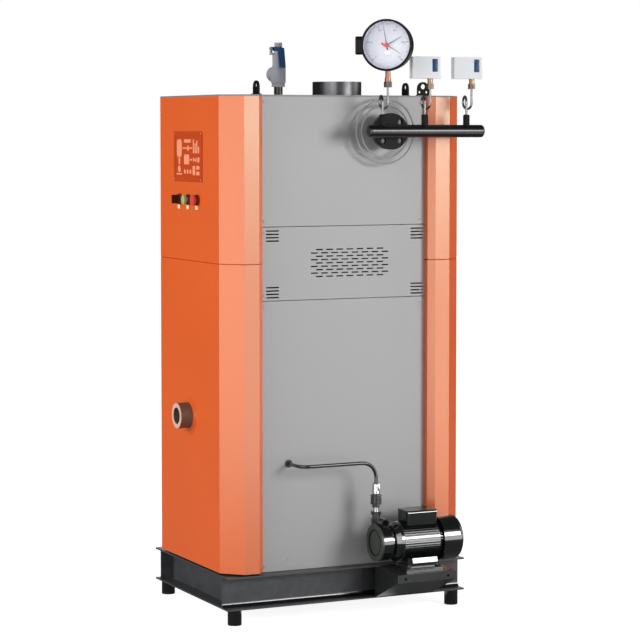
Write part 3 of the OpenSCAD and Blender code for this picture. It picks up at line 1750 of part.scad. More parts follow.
module terminal_box() {
    x0 = box_x0;
    color([0.05, 0.05, 0.05])
    difference() {
        union() {
            soft_box([x0, box_y0, box_z0 + seat], [x0 + box_w, box_y1, box_z1 - bracket_t * 1.6], box_w * 0.12);
            soft_box(
                [x0 - sheet / 2, box_y0 - sheet / 2, box_z1 - bracket_t * 1.5],
                [x0 + box_w + sheet / 2, box_y1 + sheet / 2, box_z1],
                box_w * 0.13
            );
            soft_box(
                [x0 + sheet, box_y0 + sheet, box_z1 - bracket_t * 2],
                [x0 + box_w - sheet, box_y1 - sheet, box_z1 - bracket_t],
                box_w * 0.1
            );
        }
        rod_y([pump_x, box_y0 - sheet, pump_z], shell_r + seat, box_y1 - box_y0 + sheet * 2);
        block(
            [x0 + sheet * 2, box_y0 + sheet * 2, pump_z + shell_r + sheet * 2],
            [x0 + box_w - sheet * 2, box_y1 - sheet * 2, box_z1 - bracket_t * 2.2]
        );
    }
}

brk_z1 = base_top - channel_t - seat;
brk_x0 = web_x + channel_t + seat;
brk_x1 = frame_x + seat;
brk_low = base_bot + bracket_t * 0.5;

module pump_bracket() {
    t = bracket_t;
    za = brk_z1 - bracket_lip;
    color([0.2, 0.2, 0.21])
    difference() {
        union() {
            block([brk_x0, bracket_y0, brk_z1 - t], [bracket_x, bracket_y1, brk_z1]);
            block([bracket_x - t, bracket_y0, za], [bracket_x, bracket_y1, brk_z1]);
            translate([0, bracket_y1, 0])
            rotate([90, 0, 0])
            linear_extrude(height = bracket_y1 - bracket_y0)
            polygon([[brk_x1, brk_low], [bracket_x, za], [bracket_x, za + t], [brk_x1, brk_low + t * 1.2]]);
            for (y = [bracket_y0 + t, bracket_y1])
                translate([0, y, 0])
                rotate([90, 0, 0])
                linear_extrude(height = t)
                polygon([[brk_x1, brk_low], [bracket_x, za], [bracket_x, brk_z1], [brk_x1, brk_z1]]);
        }
        for (x = [pump_x - foot_w * 0.86, pump_x + foot_w * 0.86], y = [foot_y0 + foot_t, foot_y1 - foot_t])
            rod_z([x, y, brk_z1 - t - over], foot_hole, t + over * 2);
        block([bracket_x - t * 4, foot_y0 + t * 3, brk_z1 - t - over], [bracket_x - t * 2, foot_y1 - t * 4, brk_z1 + over]);
        for (y = [bracket_y0 + foot_w * 0.6, bracket_y1 - foot_w * 0.6])
            rod_x([bracket_x - t - over, y, brk_z1 - bracket_lip * 0.55], foot_hole, t + over * 2);
    }
}

module fixing_bolts() {
    bolt_z0 = brk_z1 - bracket_t - foot_hole * 1.4;
    color([0.3, 0.3, 0.3]) {
        translate([nozzle_x0, nozzle_y, nozzle_z])
        for (a = shell_bolts) {
            translate([0, flange_pcr * cos(a), flange_pcr * sin(a)])
            rod_x([-flange_t / 2, 0, 0], flange_hole_r - run_fit, flange_t * 2.2);
            translate([-flange_t / 2, flange_pcr * cos(a), flange_pcr * sin(a)])
            rotate([0, 90, 0])
            cylinder(r = flange_hole_r * 1.5, h = flange_t / 2 - seat / 3, $fn = 6);
        }
        for (x = [pump_x - foot_w * 0.86, pump_x + foot_w * 0.86], y = [foot_y0 + foot_t, foot_y1 - foot_t]) {
            rod_z([x, y, bolt_z0], foot_hole - run_fit, foot_z0 + foot_t - bolt_z0 + foot_hole);
            hex_z([x, y, foot_z0 + foot_t], foot_hole * 3, foot_hole * 1.1);
            hex_z([x, y, bolt_z0 - foot_hole * 0.2], foot_hole * 3, foot_hole * 1.5);
        }
    }
}

base_frame();
feet();
inner_frame();
front_casing_lower();
front_casing_upper();
rear_casing_lower();
rear_casing_upper();
right_panel_upper();
right_panel_vent();
right_panel_lower();
left_panels();
lid();
lifting_lugs();
panel_screws();
boiler_shell();
steam_pipes();
furnace();
smoke_tubes();
flue_hood();
insulation_jacket();
blowdown_socket();
pipe_rosettes();
level_probes();
header();
siphons();
seals();
gauge_stem();
gauge_case();
gauge_dial();
gauge_glass();
gauge_pointer();
gauge_low_hand();
gauge_high_hand();
pressure_switch_1();
pressure_switch_2();
valve_body();
valve_lever();
valve_spindle();
valve_spring();
feed_tube();
check_valve();
pump_head();
pump_cover();
pump_impeller();
motor_housing();
motor_stator();
motor_shaft();
motor_fan();
fan_cover();
terminal_box();
pump_bracket();
display_panel();
control_bezels();
selector_knob();
start_button();
stop_button();
control_box();
burner();
burner_fan();
fixing_bolts();
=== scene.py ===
import math

import bmesh
import bpy
from mathutils import Matrix, Vector


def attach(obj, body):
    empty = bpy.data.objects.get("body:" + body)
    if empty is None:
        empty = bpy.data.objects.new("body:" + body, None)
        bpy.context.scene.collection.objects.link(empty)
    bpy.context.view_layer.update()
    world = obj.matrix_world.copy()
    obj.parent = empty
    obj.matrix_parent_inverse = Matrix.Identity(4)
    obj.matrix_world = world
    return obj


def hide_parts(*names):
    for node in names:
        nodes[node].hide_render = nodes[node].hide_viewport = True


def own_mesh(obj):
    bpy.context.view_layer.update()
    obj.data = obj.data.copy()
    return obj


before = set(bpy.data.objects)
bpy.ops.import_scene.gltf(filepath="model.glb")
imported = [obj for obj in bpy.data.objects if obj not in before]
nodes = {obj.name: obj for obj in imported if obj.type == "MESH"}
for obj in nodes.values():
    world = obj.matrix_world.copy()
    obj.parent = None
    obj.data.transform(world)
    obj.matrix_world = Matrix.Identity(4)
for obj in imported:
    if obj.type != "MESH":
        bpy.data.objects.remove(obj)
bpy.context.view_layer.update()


# The camera stands 7.3 m off at the front right, at the height of the steam header,
# with a long lens that looks down a little.
CAMERA_TURN = math.radians(64.531)
CAMERA_TILT = math.radians(3.336)
CAMERA_AT = (6.6131, -3.1083, 1.4694)
back = Vector((
    math.sin(CAMERA_TURN) * math.cos(CAMERA_TILT),
    -math.cos(CAMERA_TURN) * math.cos(CAMERA_TILT),
    math.sin(CAMERA_TILT),
))
camera_data = bpy.data.cameras.new("camera")
camera_data.sensor_width = 36.0
camera_data.lens = 132.0
camera_data.shift_y = -0.0827
camera_data.clip_end = 100.0
camera = bpy.data.objects.new("camera", camera_data)
camera.location = CAMERA_AT
camera.rotation_mode = "QUATERNION"
camera.rotation_quaternion = (-back).to_track_quat("-Z", "Y")
bpy.context.scene.collection.objects.link(camera)
bpy.context.scene.camera = camera
bpy.context.scene.view_settings.view_transform = "Standard"


# The studio's white sweep: a floor and a surround that look white straight on and in
# the gloss. The surround gives a weak even light, and the floor keeps the shadow.
def seen_ray(tree):
    """1 for what the camera sees, straight, mirrored or through glass."""
    path = tree.nodes.new("ShaderNodeLightPath")
    a = tree.nodes.new("ShaderNodeMath")
    a.operation = "MAXIMUM"
    b = tree.nodes.new("ShaderNodeMath")
    b.operation = "MAXIMUM"
    tree.links.new(path.outputs["Is Camera Ray"], a.inputs[0])
    tree.links.new(path.outputs["Is Glossy Ray"], a.inputs[1])
    tree.links.new(a.outputs[0], b.inputs[0])
    tree.links.new(path.outputs["Is Transmission Ray"], b.inputs[1])
    return b.outputs[0]


world = bpy.data.worlds.new("studio")
bpy.context.scene.world = world
world.use_nodes = True
wt = world.node_tree
wt.nodes.clear()
w_out = wt.nodes.new("ShaderNodeOutputWorld")
w_mix = wt.nodes.new("ShaderNodeMixShader")
w_light = wt.nodes.new("ShaderNodeBackground")
w_light.inputs["Color"].default_value = (0.97, 0.98, 1.0, 1)
w_light.inputs["Strength"].default_value = 0.4
w_seen = wt.nodes.new("ShaderNodeBackground")
w_seen.inputs["Color"].default_value = (1, 1, 1, 1)
w_seen.inputs["Strength"].default_value = 1.0
wt.links.new(seen_ray(wt), w_mix.inputs[0])
wt.links.new(w_light.outputs[0], w_mix.inputs[1])
wt.links.new(w_seen.outputs[0], w_mix.inputs[2])
wt.links.new(w_mix.outputs[0], w_out.inputs[0])

floor_mesh = bpy.data.meshes.new("floor")
bm = bmesh.new()
bmesh.ops.create_grid(bm, x_segments=1, y_segments=1, size=20.0)
bm.to_mesh(floor_mesh)
bm.free()
floor = bpy.data.objects.new("floor", floor_mesh)
bpy.context.scene.collection.objects.link(floor)
floor_paint = bpy.data.materials.new("floor white")
floor_paint.use_nodes = True
ft = floor_paint.node_tree
ft.nodes.clear()
f_out = ft.nodes.new("ShaderNodeOutputMaterial")
f_add = ft.nodes.new("ShaderNodeAddShader")
f_dif = ft.nodes.new("ShaderNodeBsdfDiffuse")
f_dif.inputs["Color"].default_value = (0.42, 0.42, 0.42, 1)
f_glow = ft.nodes.new("ShaderNodeEmission")
ft.links.new(seen_ray(ft), f_glow.inputs["Strength"])
f_glow.inputs["Color"].default_value = (0.9, 0.9, 0.9, 1)
ft.links.new(f_dif.outputs[0], f_add.inputs[0])
ft.links.new(f_glow.outputs[0], f_add.inputs[1])
ft.links.new(f_add.outputs[0], f_out.inputs[0])
floor.data.materials.append(floor_paint)


# The lamps: a strong soft box high on the right, a tall strip at the front corner, a
# fill for the front that the gloss doesn't see, and a strip at the rear edge.
BOILER_MIDDLE = Vector((0, 0, 0.8))


def around(turn, rise, far):
    """A point seen from the boiler's middle; turn goes from +X towards -Y."""
    a, b = math.radians(turn), math.radians(rise)
    way = Vector((math.cos(a) * math.cos(b), -math.sin(a) * math.cos(b), math.sin(b)))
    return way * far + BOILER_MIDDLE


def soft_light(name, turn, rise, far, wide, tall, glow):
    """A soft box that faces the boiler, as bright as a surface of that glow."""
    lamp = bpy.data.lights.new(name, "AREA")
    lamp.shape = "RECTANGLE"
    lamp.size = wide
    lamp.size_y = tall
    lamp.energy = glow * math.pi * wide * tall
    obj = bpy.data.objects.new(name, lamp)
    obj.location = around(turn, rise, far)
    obj.rotation_mode = "QUATERNION"
    obj.rotation_quaternion = (BOILER_MIDDLE - obj.location).to_track_quat("-Z", "Y")
    bpy.context.scene.collection.objects.link(obj)
    return obj


# name, turn and rise in degrees, distance, width and height in metres, glow
soft_light("key box", -28, 13, 5.0, 1.7, 1.4, 16.0)
soft_light("front strip", 63, 3, 3.8, 1.6, 3.4, 1.5)
front_fill = soft_light("front fill", 98, 8, 4.4, 2.2, 2.4, 7.4)
front_fill.visible_glossy = False
soft_light("rim strip", -76, 4, 3.8, 1.0, 2.6, 2.8)


# Reflection cards: dark and pale sheets curved round the set, which only the gloss
# sees. They draw the bands on the round black parts and the veil on the corner folds.
def card(name, turn_0, turn_1, low, high, far, tone, far_top=None):
    """A curved or flat card that only reflections see, from one turn to the other."""
    paper = bpy.data.materials.new(name)
    paper.use_nodes = True
    tree = paper.node_tree
    tree.nodes.clear()
    end = tree.nodes.new("ShaderNodeOutputMaterial")
    face = tree.nodes.new("ShaderNodeEmission")
    face.inputs["Color"].default_value = (tone, tone, tone, 1)
    tree.links.new(face.outputs[0], end.inputs[0])
    bm = bmesh.new()
    a = math.radians(-turn_0)
    foot = bm.verts.new((math.cos(a) * far, math.sin(a) * far, low))
    top = far_top or far
    head = bm.verts.new((math.cos(a) * top, math.sin(a) * top, high))
    bmesh.ops.spin(bm, geom=[foot, head, bm.edges.new((foot, head))], axis=(0, 0, -1), cent=(0, 0, 0),
                   dvec=(0, 0, 0), angle=math.radians(turn_1 - turn_0), steps=24, use_merge=False)
    mesh = bpy.data.meshes.new(name)
    bm.to_mesh(mesh)
    bm.free()
    mesh.materials.append(paper)
    obj = bpy.data.objects.new(name, mesh)
    bpy.context.scene.collection.objects.link(obj)
    obj.visible_camera = False
    obj.visible_diffuse = False
    obj.visible_transmission = False
    obj.visible_shadow = False


# name, from turn to turn in degrees, lower and upper edge and distance in metres, tone
card("grey card left", 122, 190, 0.0, 4.0, 4.0, 0.06)
card("dark card front", 86, 122, 0.0, 2.6, 4.2, 0.02)
card("pale card corner", 54, 84, 0.0, 2.0, 2.4, 2.5)
card("pale card turn", 27, 54, 0.0, 2.0, 2.4, 4.4)
card("dark card corner", 8, 40, 0.0, 4.0, 5.0, 0.02)
card("pale card low", -58, 6, 0.0, 0.62, 2.5, 3.6)
card("pale card right", -36, -4, 0.0, 1.36, 5.3, 1.2)
card("dark card rear", -66, -37, 0.0, 3.5, 5.0, 0.2)
card("dark card back", -142, -88, 0.0, 3.5, 5.0, 0.05)
card("dark ceiling", 0, 360, 3.6, 3.6, 0.2, 0.05, 5.0)
card("dark floor card", 0, 360, 0.002, 0.002, 0.3, 0.12, 5.0)


# Base frame of 100 mm channel, welded and painted dark grey, with the inner frame of
# square tube on it. Four pipe feet in black gloss are welded under it. The pump
# bracket at its side is folded from plate and nearly black.
def new_material(name):
    mat = bpy.data.materials.new(name)
    mat.use_nodes = True
    return mat, mat.node_tree, mat.node_tree.nodes["Principled BSDF"]


def paint_group():
    """Sprayed paint: fine skin, cloudy tone, dust that gathers low down."""
    g = bpy.data.node_groups.new("paint skin", "ShaderNodeTree")
    for sock in ("Colour", "Dust Colour"):
        g.interface.new_socket(sock, in_out="INPUT", socket_type="NodeSocketColor")
    for sock in ("Roughness", "Cloud", "Dust", "Grain Size"):
        g.interface.new_socket(sock, in_out="INPUT", socket_type="NodeSocketFloat")
    g.interface.new_socket("Colour", in_out="OUTPUT", socket_type="NodeSocketColor")
    g.interface.new_socket("Roughness", in_out="OUTPUT", socket_type="NodeSocketFloat")
    g.interface.new_socket("Height", in_out="OUTPUT", socket_type="NodeSocketFloat")
    n, l = g.nodes, g.links
    gin, gout = n.new("NodeGroupInput"), n.new("NodeGroupOutput")
    where = n.new("ShaderNodeTexCoord")
    grain = n.new("ShaderNodeTexNoise")
    grain.inputs["Detail"].default_value = 3
    l.new(where.outputs["Object"], grain.inputs["Vector"])
    l.new(gin.outputs["Grain Size"], grain.inputs["Scale"])
    cloud = n.new("ShaderNodeTexNoise")
    cloud.inputs["Scale"].default_value = 3.2
    cloud.inputs["Detail"].default_value = 5
    l.new(where.outputs["Object"], cloud.inputs["Vector"])
    tone = n.new("ShaderNodeMapRange")
    tone.inputs["From Min"].default_value = 0.3
    tone.inputs["From Max"].default_value = 0.7
    tone.inputs["To Min"].default_value = -1
    tone.inputs["To Max"].default_value = 1
    l.new(cloud.outputs[0], tone.inputs[0])
    amount = n.new("ShaderNodeMath")
    amount.operation = "MULTIPLY_ADD"
    amount.inputs[2].default_value = 1
    l.new(tone.outputs[0], amount.inputs[0])
    l.new(gin.outputs["Cloud"], amount.inputs[1])
    shade = n.new("ShaderNodeVectorMath")
    shade.operation = "SCALE"
    l.new(gin.outputs["Colour"], shade.inputs[0])
    l.new(amount.outputs[0], shade.inputs["Scale"])
    split = n.new("ShaderNodeSeparateXYZ")
    l.new(where.outputs["Object"], split.inputs[0])
    low = n.new("ShaderNodeMapRange")
    low.inputs["From Min"].default_value = 0.0
    low.inputs["From Max"].default_value = 0.8
    low.inputs["To Min"].default_value = 1.0
    low.inputs["To Max"].default_value = 0.25
    l.new(split.outputs["Z"], low.inputs[0])
    speck = n.new("ShaderNodeTexNoise")
    speck.inputs["Scale"].default_value = 46
    speck.inputs["Detail"].default_value = 6
    l.new(where.outputs["Object"], speck.inputs["Vector"])
    fleck = n.new("ShaderNodeMapRange")
    fleck.inputs["From Min"].default_value = 0.42
    fleck.inputs["From Max"].default_value = 0.78
    l.new(speck.outputs[0], fleck.inputs[0])
    dust = n.new("ShaderNodeMath")
    dust.operation = "MULTIPLY"
    l.new(low.outputs[0], dust.inputs[0])
    l.new(fleck.outputs[0], dust.inputs[1])
    dust2 = n.new("ShaderNodeMath")
    dust2.operation = "MULTIPLY"
    l.new(dust.outputs[0], dust2.inputs[0])
    l.new(gin.outputs["Dust"], dust2.inputs[1])
    mix = n.new("ShaderNodeMix")
    mix.data_type = "RGBA"
    l.new(dust2.outputs[0], mix.inputs["Factor"])
    l.new(shade.outputs[0], mix.inputs["A"])
    l.new(gin.outputs["Dust Colour"], mix.inputs["B"])
    l.new(mix.outputs["Result"], gout.inputs["Colour"])
    rough = n.new("ShaderNodeMath")
    rough.operation = "MULTIPLY_ADD"
    rough.inputs[1].default_value = 0.5
    l.new(dust2.outputs[0], rough.inputs[0])
    l.new(gin.outputs["Roughness"], rough.inputs[2])
    rough2 = n.new("ShaderNodeMath")
    rough2.operation = "MULTIPLY_ADD"
    rough2.inputs[1].default_value = 0.04
    l.new(tone.outputs[0], rough2.inputs[0])
    l.new(rough.outputs[0], rough2.inputs[2])
    l.new(rough2.outputs[0], gout.inputs["Roughness"])
    l.new(grain.outputs[0], gout.inputs["Height"])
    return g


PAINT_SKIN = paint_group()


def paint(name, colour, rough, coat=0.0, coat_rough=0.1, cloud=0.02, dust=0.05,
          grain=900.0, bump=0.05, sheen=0.5, coat_ior=1.5, tint=(1, 1, 1)):
    """A painted finish; coat is a clear gloss over it, sheen the strength of its highlight."""
    mat, tree, shader = new_material(name)
    skin = tree.nodes.new("ShaderNodeGroup")
    skin.node_tree = PAINT_SKIN
    skin.inputs["Colour"].default_value = (*colour, 1)
    skin.inputs["Dust Colour"].default_value = (0.42, 0.4, 0.37, 1)
    skin.inputs["Roughness"].default_value = rough
    skin.inputs["Cloud"].default_value = cloud
    skin.inputs["Dust"].default_value = dust
    skin.inputs["Grain Size"].default_value = grain
    tree.links.new(skin.outputs["Colour"], shader.inputs["Base Color"])
    tree.links.new(skin.outputs["Roughness"], shader.inputs["Roughness"])
    bumps = tree.nodes.new("ShaderNodeBump")
    bumps.inputs["Strength"].default_value = bump
    bumps.inputs["Distance"].default_value = 0.001
    tree.links.new(skin.outputs["Height"], bumps.inputs["Height"])
    tree.links.new(bumps.outputs["Normal"], shader.inputs["Normal"])
    shader.inputs["Specular IOR Level"].default_value = sheen
    shader.inputs["Specular Tint"].default_value = (*tint, 1)
    shader.inputs["Coat Weight"].default_value = coat
    shader.inputs["Coat Roughness"].default_value = coat_rough
    shader.inputs["Coat IOR"].default_value = coat_ior
    return mat


def dress(mat, *names):
    """Puts one finish on CAD pieces."""
    for name in names:
        for place in nodes[name].material_slots:
            place.material = mat


frame_grey = paint("frame grey", (0.044, 0.046, 0.051), 0.36, dust=0.06, grain=500, bump=0.12)
bracket_grey = paint("bracket grey", (0.012, 0.015, 0.014), 0.34, dust=0.02, grain=500, bump=0.1)
black_gloss = paint("black gloss", (0.006, 0.006, 0.007), 0.16, coat=0.5, coat_rough=0.05, dust=0.006)
dress(frame_grey, "base_frame", "inner_frame")
dress(bracket_grey, "pump_bracket")
dress(black_gloss, "feet")


# Orange front and rear covers, each a lower and an upper half, folded from 2 mm sheet
# and powder coated with a soft gloss. The specular tint holds the red back, so that
# a highlight reads as pale orange.
orange_coat = paint("orange powder coat", (0.77, 0.112, 0.013), 0.36, coat=0.5, coat_rough=0.3,
                    cloud=0.015, dust=0.01, grain=700, bump=0.06, sheen=0.9, tint=(0.55, 0.95, 0.7))
dress(orange_coat, "front_casing_lower", "front_casing_upper", "rear_casing_lower", "rear_casing_upper")


# Grey side covers and lid, folded sheet trays in a flatter powder coat. Screws in the
# same coat hold the covers. The bolts of the steam flange and the pump are blackened.
grey_coat = paint("grey powder coat", (0.36, 0.36, 0.36), 0.5, coat=0.2, coat_rough=0.4,
                  cloud=0.02, dust=0.03, grain=700, bump=0.06)
lid_coat = paint("lid grey coat", (0.2, 0.2, 0.2), 0.45, dust=0.05)
dress(grey_coat, "right_panel_upper", "right_panel_vent", "right_panel_lower", "left_panels", "panel_screws")
bolt_black = paint("bolt black", (0.012, 0.012, 0.012), 0.4, dust=0.02)
dress(lid_coat, "lid")
dress(bolt_black, "fixing_bolts")


# Vessel inside the casing: mill steel shell, furnace and smoke tubes under an
# insulation jacket of dull thin sheet; the flue collar is drawn stainless steel.
# The control box behind the display is bright sheet.
def metal_group():
    """Worked metal: fine tool lines along one way, a cloudy tarnish and dull spots."""
    g = bpy.data.node_groups.new("worked metal", "ShaderNodeTree")
    for sock in ("Colour", "Tarnish Colour"):
        g.interface.new_socket(sock, in_out="INPUT", socket_type="NodeSocketColor")
    for sock in ("Roughness", "Lines", "Tarnish"):
        g.interface.new_socket(sock, in_out="INPUT", socket_type="NodeSocketFloat")
    g.interface.new_socket("Stretch", in_out="INPUT", socket_type="NodeSocketVector")
    g.interface.new_socket("Colour", in_out="OUTPUT", socket_type="NodeSocketColor")
    g.interface.new_socket("Roughness", in_out="OUTPUT", socket_type="NodeSocketFloat")
    g.interface.new_socket("Height", in_out="OUTPUT", socket_type="NodeSocketFloat")
    n, l = g.nodes, g.links
    gin, gout = n.new("NodeGroupInput"), n.new("NodeGroupOutput")
    where = n.new("ShaderNodeTexCoord")
    along = n.new("ShaderNodeVectorMath")
    along.operation = "MULTIPLY"
    l.new(where.outputs["Object"], along.inputs[0])
    l.new(gin.outputs["Stretch"], along.inputs[1])
    line = n.new("ShaderNodeTexNoise")
    line.inputs["Scale"].default_value = 1.0
    line.inputs["Detail"].default_value = 4
    l.new(along.outputs[0], line.inputs["Vector"])
    spot = n.new("ShaderNodeTexNoise")
    spot.inputs["Scale"].default_value = 28
    spot.inputs["Detail"].default_value = 6
    spot.inputs["Roughness"].default_value = 0.65
    l.new(where.outputs["Object"], spot.inputs["Vector"])
    dull = n.new("ShaderNodeMapRange")
    dull.inputs["From Min"].default_value = 0.4
    dull.inputs["From Max"].default_value = 0.75
    l.new(spot.outputs[0], dull.inputs[0])
    amount = n.new("ShaderNodeMath")
    amount.operation = "MULTIPLY"
    l.new(dull.outputs[0], amount.inputs[0])
    l.new(gin.outputs["Tarnish"], amount.inputs[1])
    mix = n.new("ShaderNodeMix")
    mix.data_type = "RGBA"
    l.new(amount.outputs[0], mix.inputs["Factor"])
    l.new(gin.outputs["Colour"], mix.inputs["A"])
    l.new(gin.outputs["Tarnish Colour"], mix.inputs["B"])
    l.new(mix.outputs["Result"], gout.inputs["Colour"])
    streak = n.new("ShaderNodeMath")
    streak.operation = "MULTIPLY_ADD"
    l.new(line.outputs[0], streak.inputs[0])
    l.new(gin.outputs["Lines"], streak.inputs[1])
    l.new(gin.outputs["Roughness"], streak.inputs[2])
    rough = n.new("ShaderNodeMath")
    rough.operation = "MULTIPLY_ADD"
    rough.inputs[1].default_value = 0.35
    l.new(amount.outputs[0], rough.inputs[0])
    l.new(streak.outputs[0], rough.inputs[2])
    l.new(rough.outputs[0], gout.inputs["Roughness"])
    l.new(line.outputs[0], gout.inputs["Height"])
    return g


WORKED_METAL = metal_group()


def metal(name, colour, rough, lines=0.1, tarnish=0.2, dull=(0.2, 0.17, 0.13),
          stretch=(40, 40, 900), bump=0.03, metallic=1.0):
    """A metal finish; stretch draws the tool lines fine along its large values."""
    mat, tree, shader = new_material(name)
    work = tree.nodes.new("ShaderNodeGroup")
    work.node_tree = WORKED_METAL
    work.inputs["Colour"].default_value = (*colour, 1)
    work.inputs["Tarnish Colour"].default_value = (*dull, 1)
    work.inputs["Roughness"].default_value = rough
    work.inputs["Lines"].default_value = lines
    work.inputs["Tarnish"].default_value = tarnish
    work.inputs["Stretch"].default_value = stretch
    tree.links.new(work.outputs["Colour"], shader.inputs["Base Color"])
    tree.links.new(work.outputs["Roughness"], shader.inputs["Roughness"])
    bumps = tree.nodes.new("ShaderNodeBump")
    bumps.inputs["Strength"].default_value = bump
    bumps.inputs["Distance"].default_value = 0.0005
    tree.links.new(work.outputs["Height"], bumps.inputs["Height"])
    tree.links.new(bumps.outputs["Normal"], shader.inputs["Normal"])
    shader.inputs["Metallic"].default_value = metallic
    return mat


mill_steel = metal("mill steel", (0.2, 0.19, 0.19), 0.45, tarnish=0.5, dull=(0.12, 0.07, 0.05))
thin_sheet = metal("thin sheet", (0.6, 0.6, 0.6), 0.35, stretch=(300, 300, 20))
stainless = metal("drawn stainless", (0.15, 0.15, 0.16), 0.3, lines=0.12, tarnish=0.05, stretch=(260, 260, 8))
jacket_dull = metal("dull jacket sheet", (0.07, 0.07, 0.072), 0.6, stretch=(300, 300, 20))
dress(mill_steel, "boiler_shell", "furnace", "smoke_tubes", "level_probes")
dress(thin_sheet, "control_box")
dress(jacket_dull, "insulation_jacket")
dress(stainless, "flue_hood")


# Lifting lugs of 6 mm plate, drilled for a shackle and painted matt black. Each stands
# on the lid with a welded foot strip, at a post or rail of the inner frame. The sharp
# edges are ground off.
def add_piece(name, bm, mat, body="boiler", crease=35):
    """A new piece from a bmesh that is in its place, with smooth round faces."""
    bmesh.ops.recalc_face_normals(bm, faces=bm.faces[:])
    mesh = bpy.data.meshes.new(name)
    bm.to_mesh(mesh)
    bm.free()
    mesh.shade_smooth()
    mesh.set_sharp_from_angle(angle=math.radians(crease))
    mesh.materials.append(mat)
    obj = bpy.data.objects.new(name, mesh)
    bpy.context.scene.collection.objects.link(obj)
    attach(obj, body)
    return obj


def eased(node, name, width, mat, body="boiler", crease=30):
    """Stands for a CAD piece: the same form with its sharp edges broken."""
    bm = bmesh.new()
    bm.from_mesh(nodes[node].data)
    bmesh.ops.remove_doubles(bm, verts=bm.verts[:], dist=0.00001)
    bmesh.ops.dissolve_limit(bm, angle_limit=math.radians(0.4), verts=bm.verts[:], edges=bm.edges[:])
    obj = add_piece(name, bm, mat, body, crease)
    ease = obj.modifiers.new("eased edges", "BEVEL")
    ease.width = width
    ease.segments = 2
    ease.limit_method = "ANGLE"
    ease.angle_limit = math.radians(crease)
    ease.harden_normals = True
    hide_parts(node)
    return obj


matt_black = paint("matt black", (0.006, 0.006, 0.006), 0.6, dust=0.004, sheen=0.15)
eased("lifting_lugs", "lug_plates", 0.0007, matt_black)


# Root fillets of the side channels: the rolled round where the web runs into the lower flange, in gloss black.
# The black is painted shade in the root, darker than the frame grey; the gloss gives a real line of light.
FILLET_R = 0.012
WEB_FACE = 0.248
FLANGE_TOP = 0.051
CHANNEL_END = 0.399
SUNK = 0.0005


def prism(bm, rim, axis, low, high):
    """A bar along Y or Z, from low to high, whose end is outlined in the two other axes."""
    ends = []
    for c in (low, high):
        ring = [bm.verts.new((a, c, b) if axis == "Y" else (a, b, c)) for a, b in rim]
        ends.append(bm.faces.new(ring))
    bmesh.ops.bridge_loops(bm, edges=list(ends[0].edges) + list(ends[1].edges))


bm = bmesh.new()
for side in (-1, 1):
    turns = [math.radians(a) for a in range(0, 91, 9)]
    rim = [(side * (WEB_FACE + FILLET_R * (1 - math.cos(a))), FLANGE_TOP + FILLET_R * (1 - math.sin(a)))
           for a in turns]
    prism(bm, rim + [(side * (WEB_FACE - SUNK), FLANGE_TOP - SUNK)], "Y", -CHANNEL_END, CHANNEL_END)
# Black on the fillets: painted shade in the channel's root.
add_piece("channel_fillets", bm, black_gloss)


# Seam strips: a folded strip lies in the 3 mm seam between the lower and the upper cover, 1 mm below their
# faces, at the front and the rear. Its deeper orange is painted shade in the seam, added to the real shade of
# the 1 mm step.
SIDE_FACE = 0.29
FRONT_FACE = -0.4
MITRE = math.tan(math.radians(22.5))
ALONG_45 = math.sqrt(0.5)


def cover_path(depth):
    """The front cover's outline, that far inside its face, from the right fold to the left."""
    lip = ALONG_45 * depth
    part = MITRE * depth
    half = [(0.272 - lip, -0.277 - lip), (SIDE_FACE - depth, -0.295 - part),
            (SIDE_FACE - depth, -0.343 + part), (0.233 - part, FRONT_FACE + depth)]
    return half + [(-x, y) for x, y in reversed(half)]


SEAM_LOW, SEAM_HIGH = 1.0726, 1.0754
bm = bmesh.new()
for side in (1, -1):
    rim = cover_path(0.001) + cover_path(0.002)[::-1]
    prism(bm, [(x, side * y) for x, y in rim], "Z", SEAM_LOW, SEAM_HIGH)
# The strip's darker orange is painted shade in the seam.
seam_shade_orange = paint("seam painted shade orange", (0.46, 0.05, 0.007), 0.5, dust=0.01, sheen=0.25)
add_piece("seam_strips", bm, seam_shade_orange, crease=10)


# Steam header: a cross pipe with closed ends on a bolted flange, with three stubs for
# the instruments. The pipe is gloss black; flange and stubs are matt. The seals, a
# gasket at the flange and a grommet round the feed tube, are black rubber.
pipe_black = paint("pipe black", (0.006, 0.006, 0.007), 0.3, coat=0.4, coat_rough=0.06, dust=0.006, sheen=0.3)
rubber = paint("black rubber", (0.02, 0.02, 0.02), 0.6, dust=0.1)
dress(pipe_black, "steam_pipes")


def two_tone(obj, mat, test):
    """Gives the faces whose middle passes the test a second finish."""
    obj.data.materials.append(mat)
    for face in obj.data.polygons:
        if test(face.center):
            face.material_index = 1


FLANGE_FACE_X = 0.352
STUB_FOOT_Z = 1.492
two_tone(eased("header", "header_pipe", 0.002, pipe_black), matt_black,
         lambda c: c.x < FLANGE_FACE_X or c.z > STUB_FOOT_Z)
dress(rubber, "seals")


# Pigtail siphons, bright steel tube bent into one loop, screwed into the header's
# stubs: one under the gauge and one under each switch.
bright_steel = metal("bright steel", (0.2, 0.2, 0.205), 0.16, tarnish=0.2)
dress(bright_steel, "siphons")


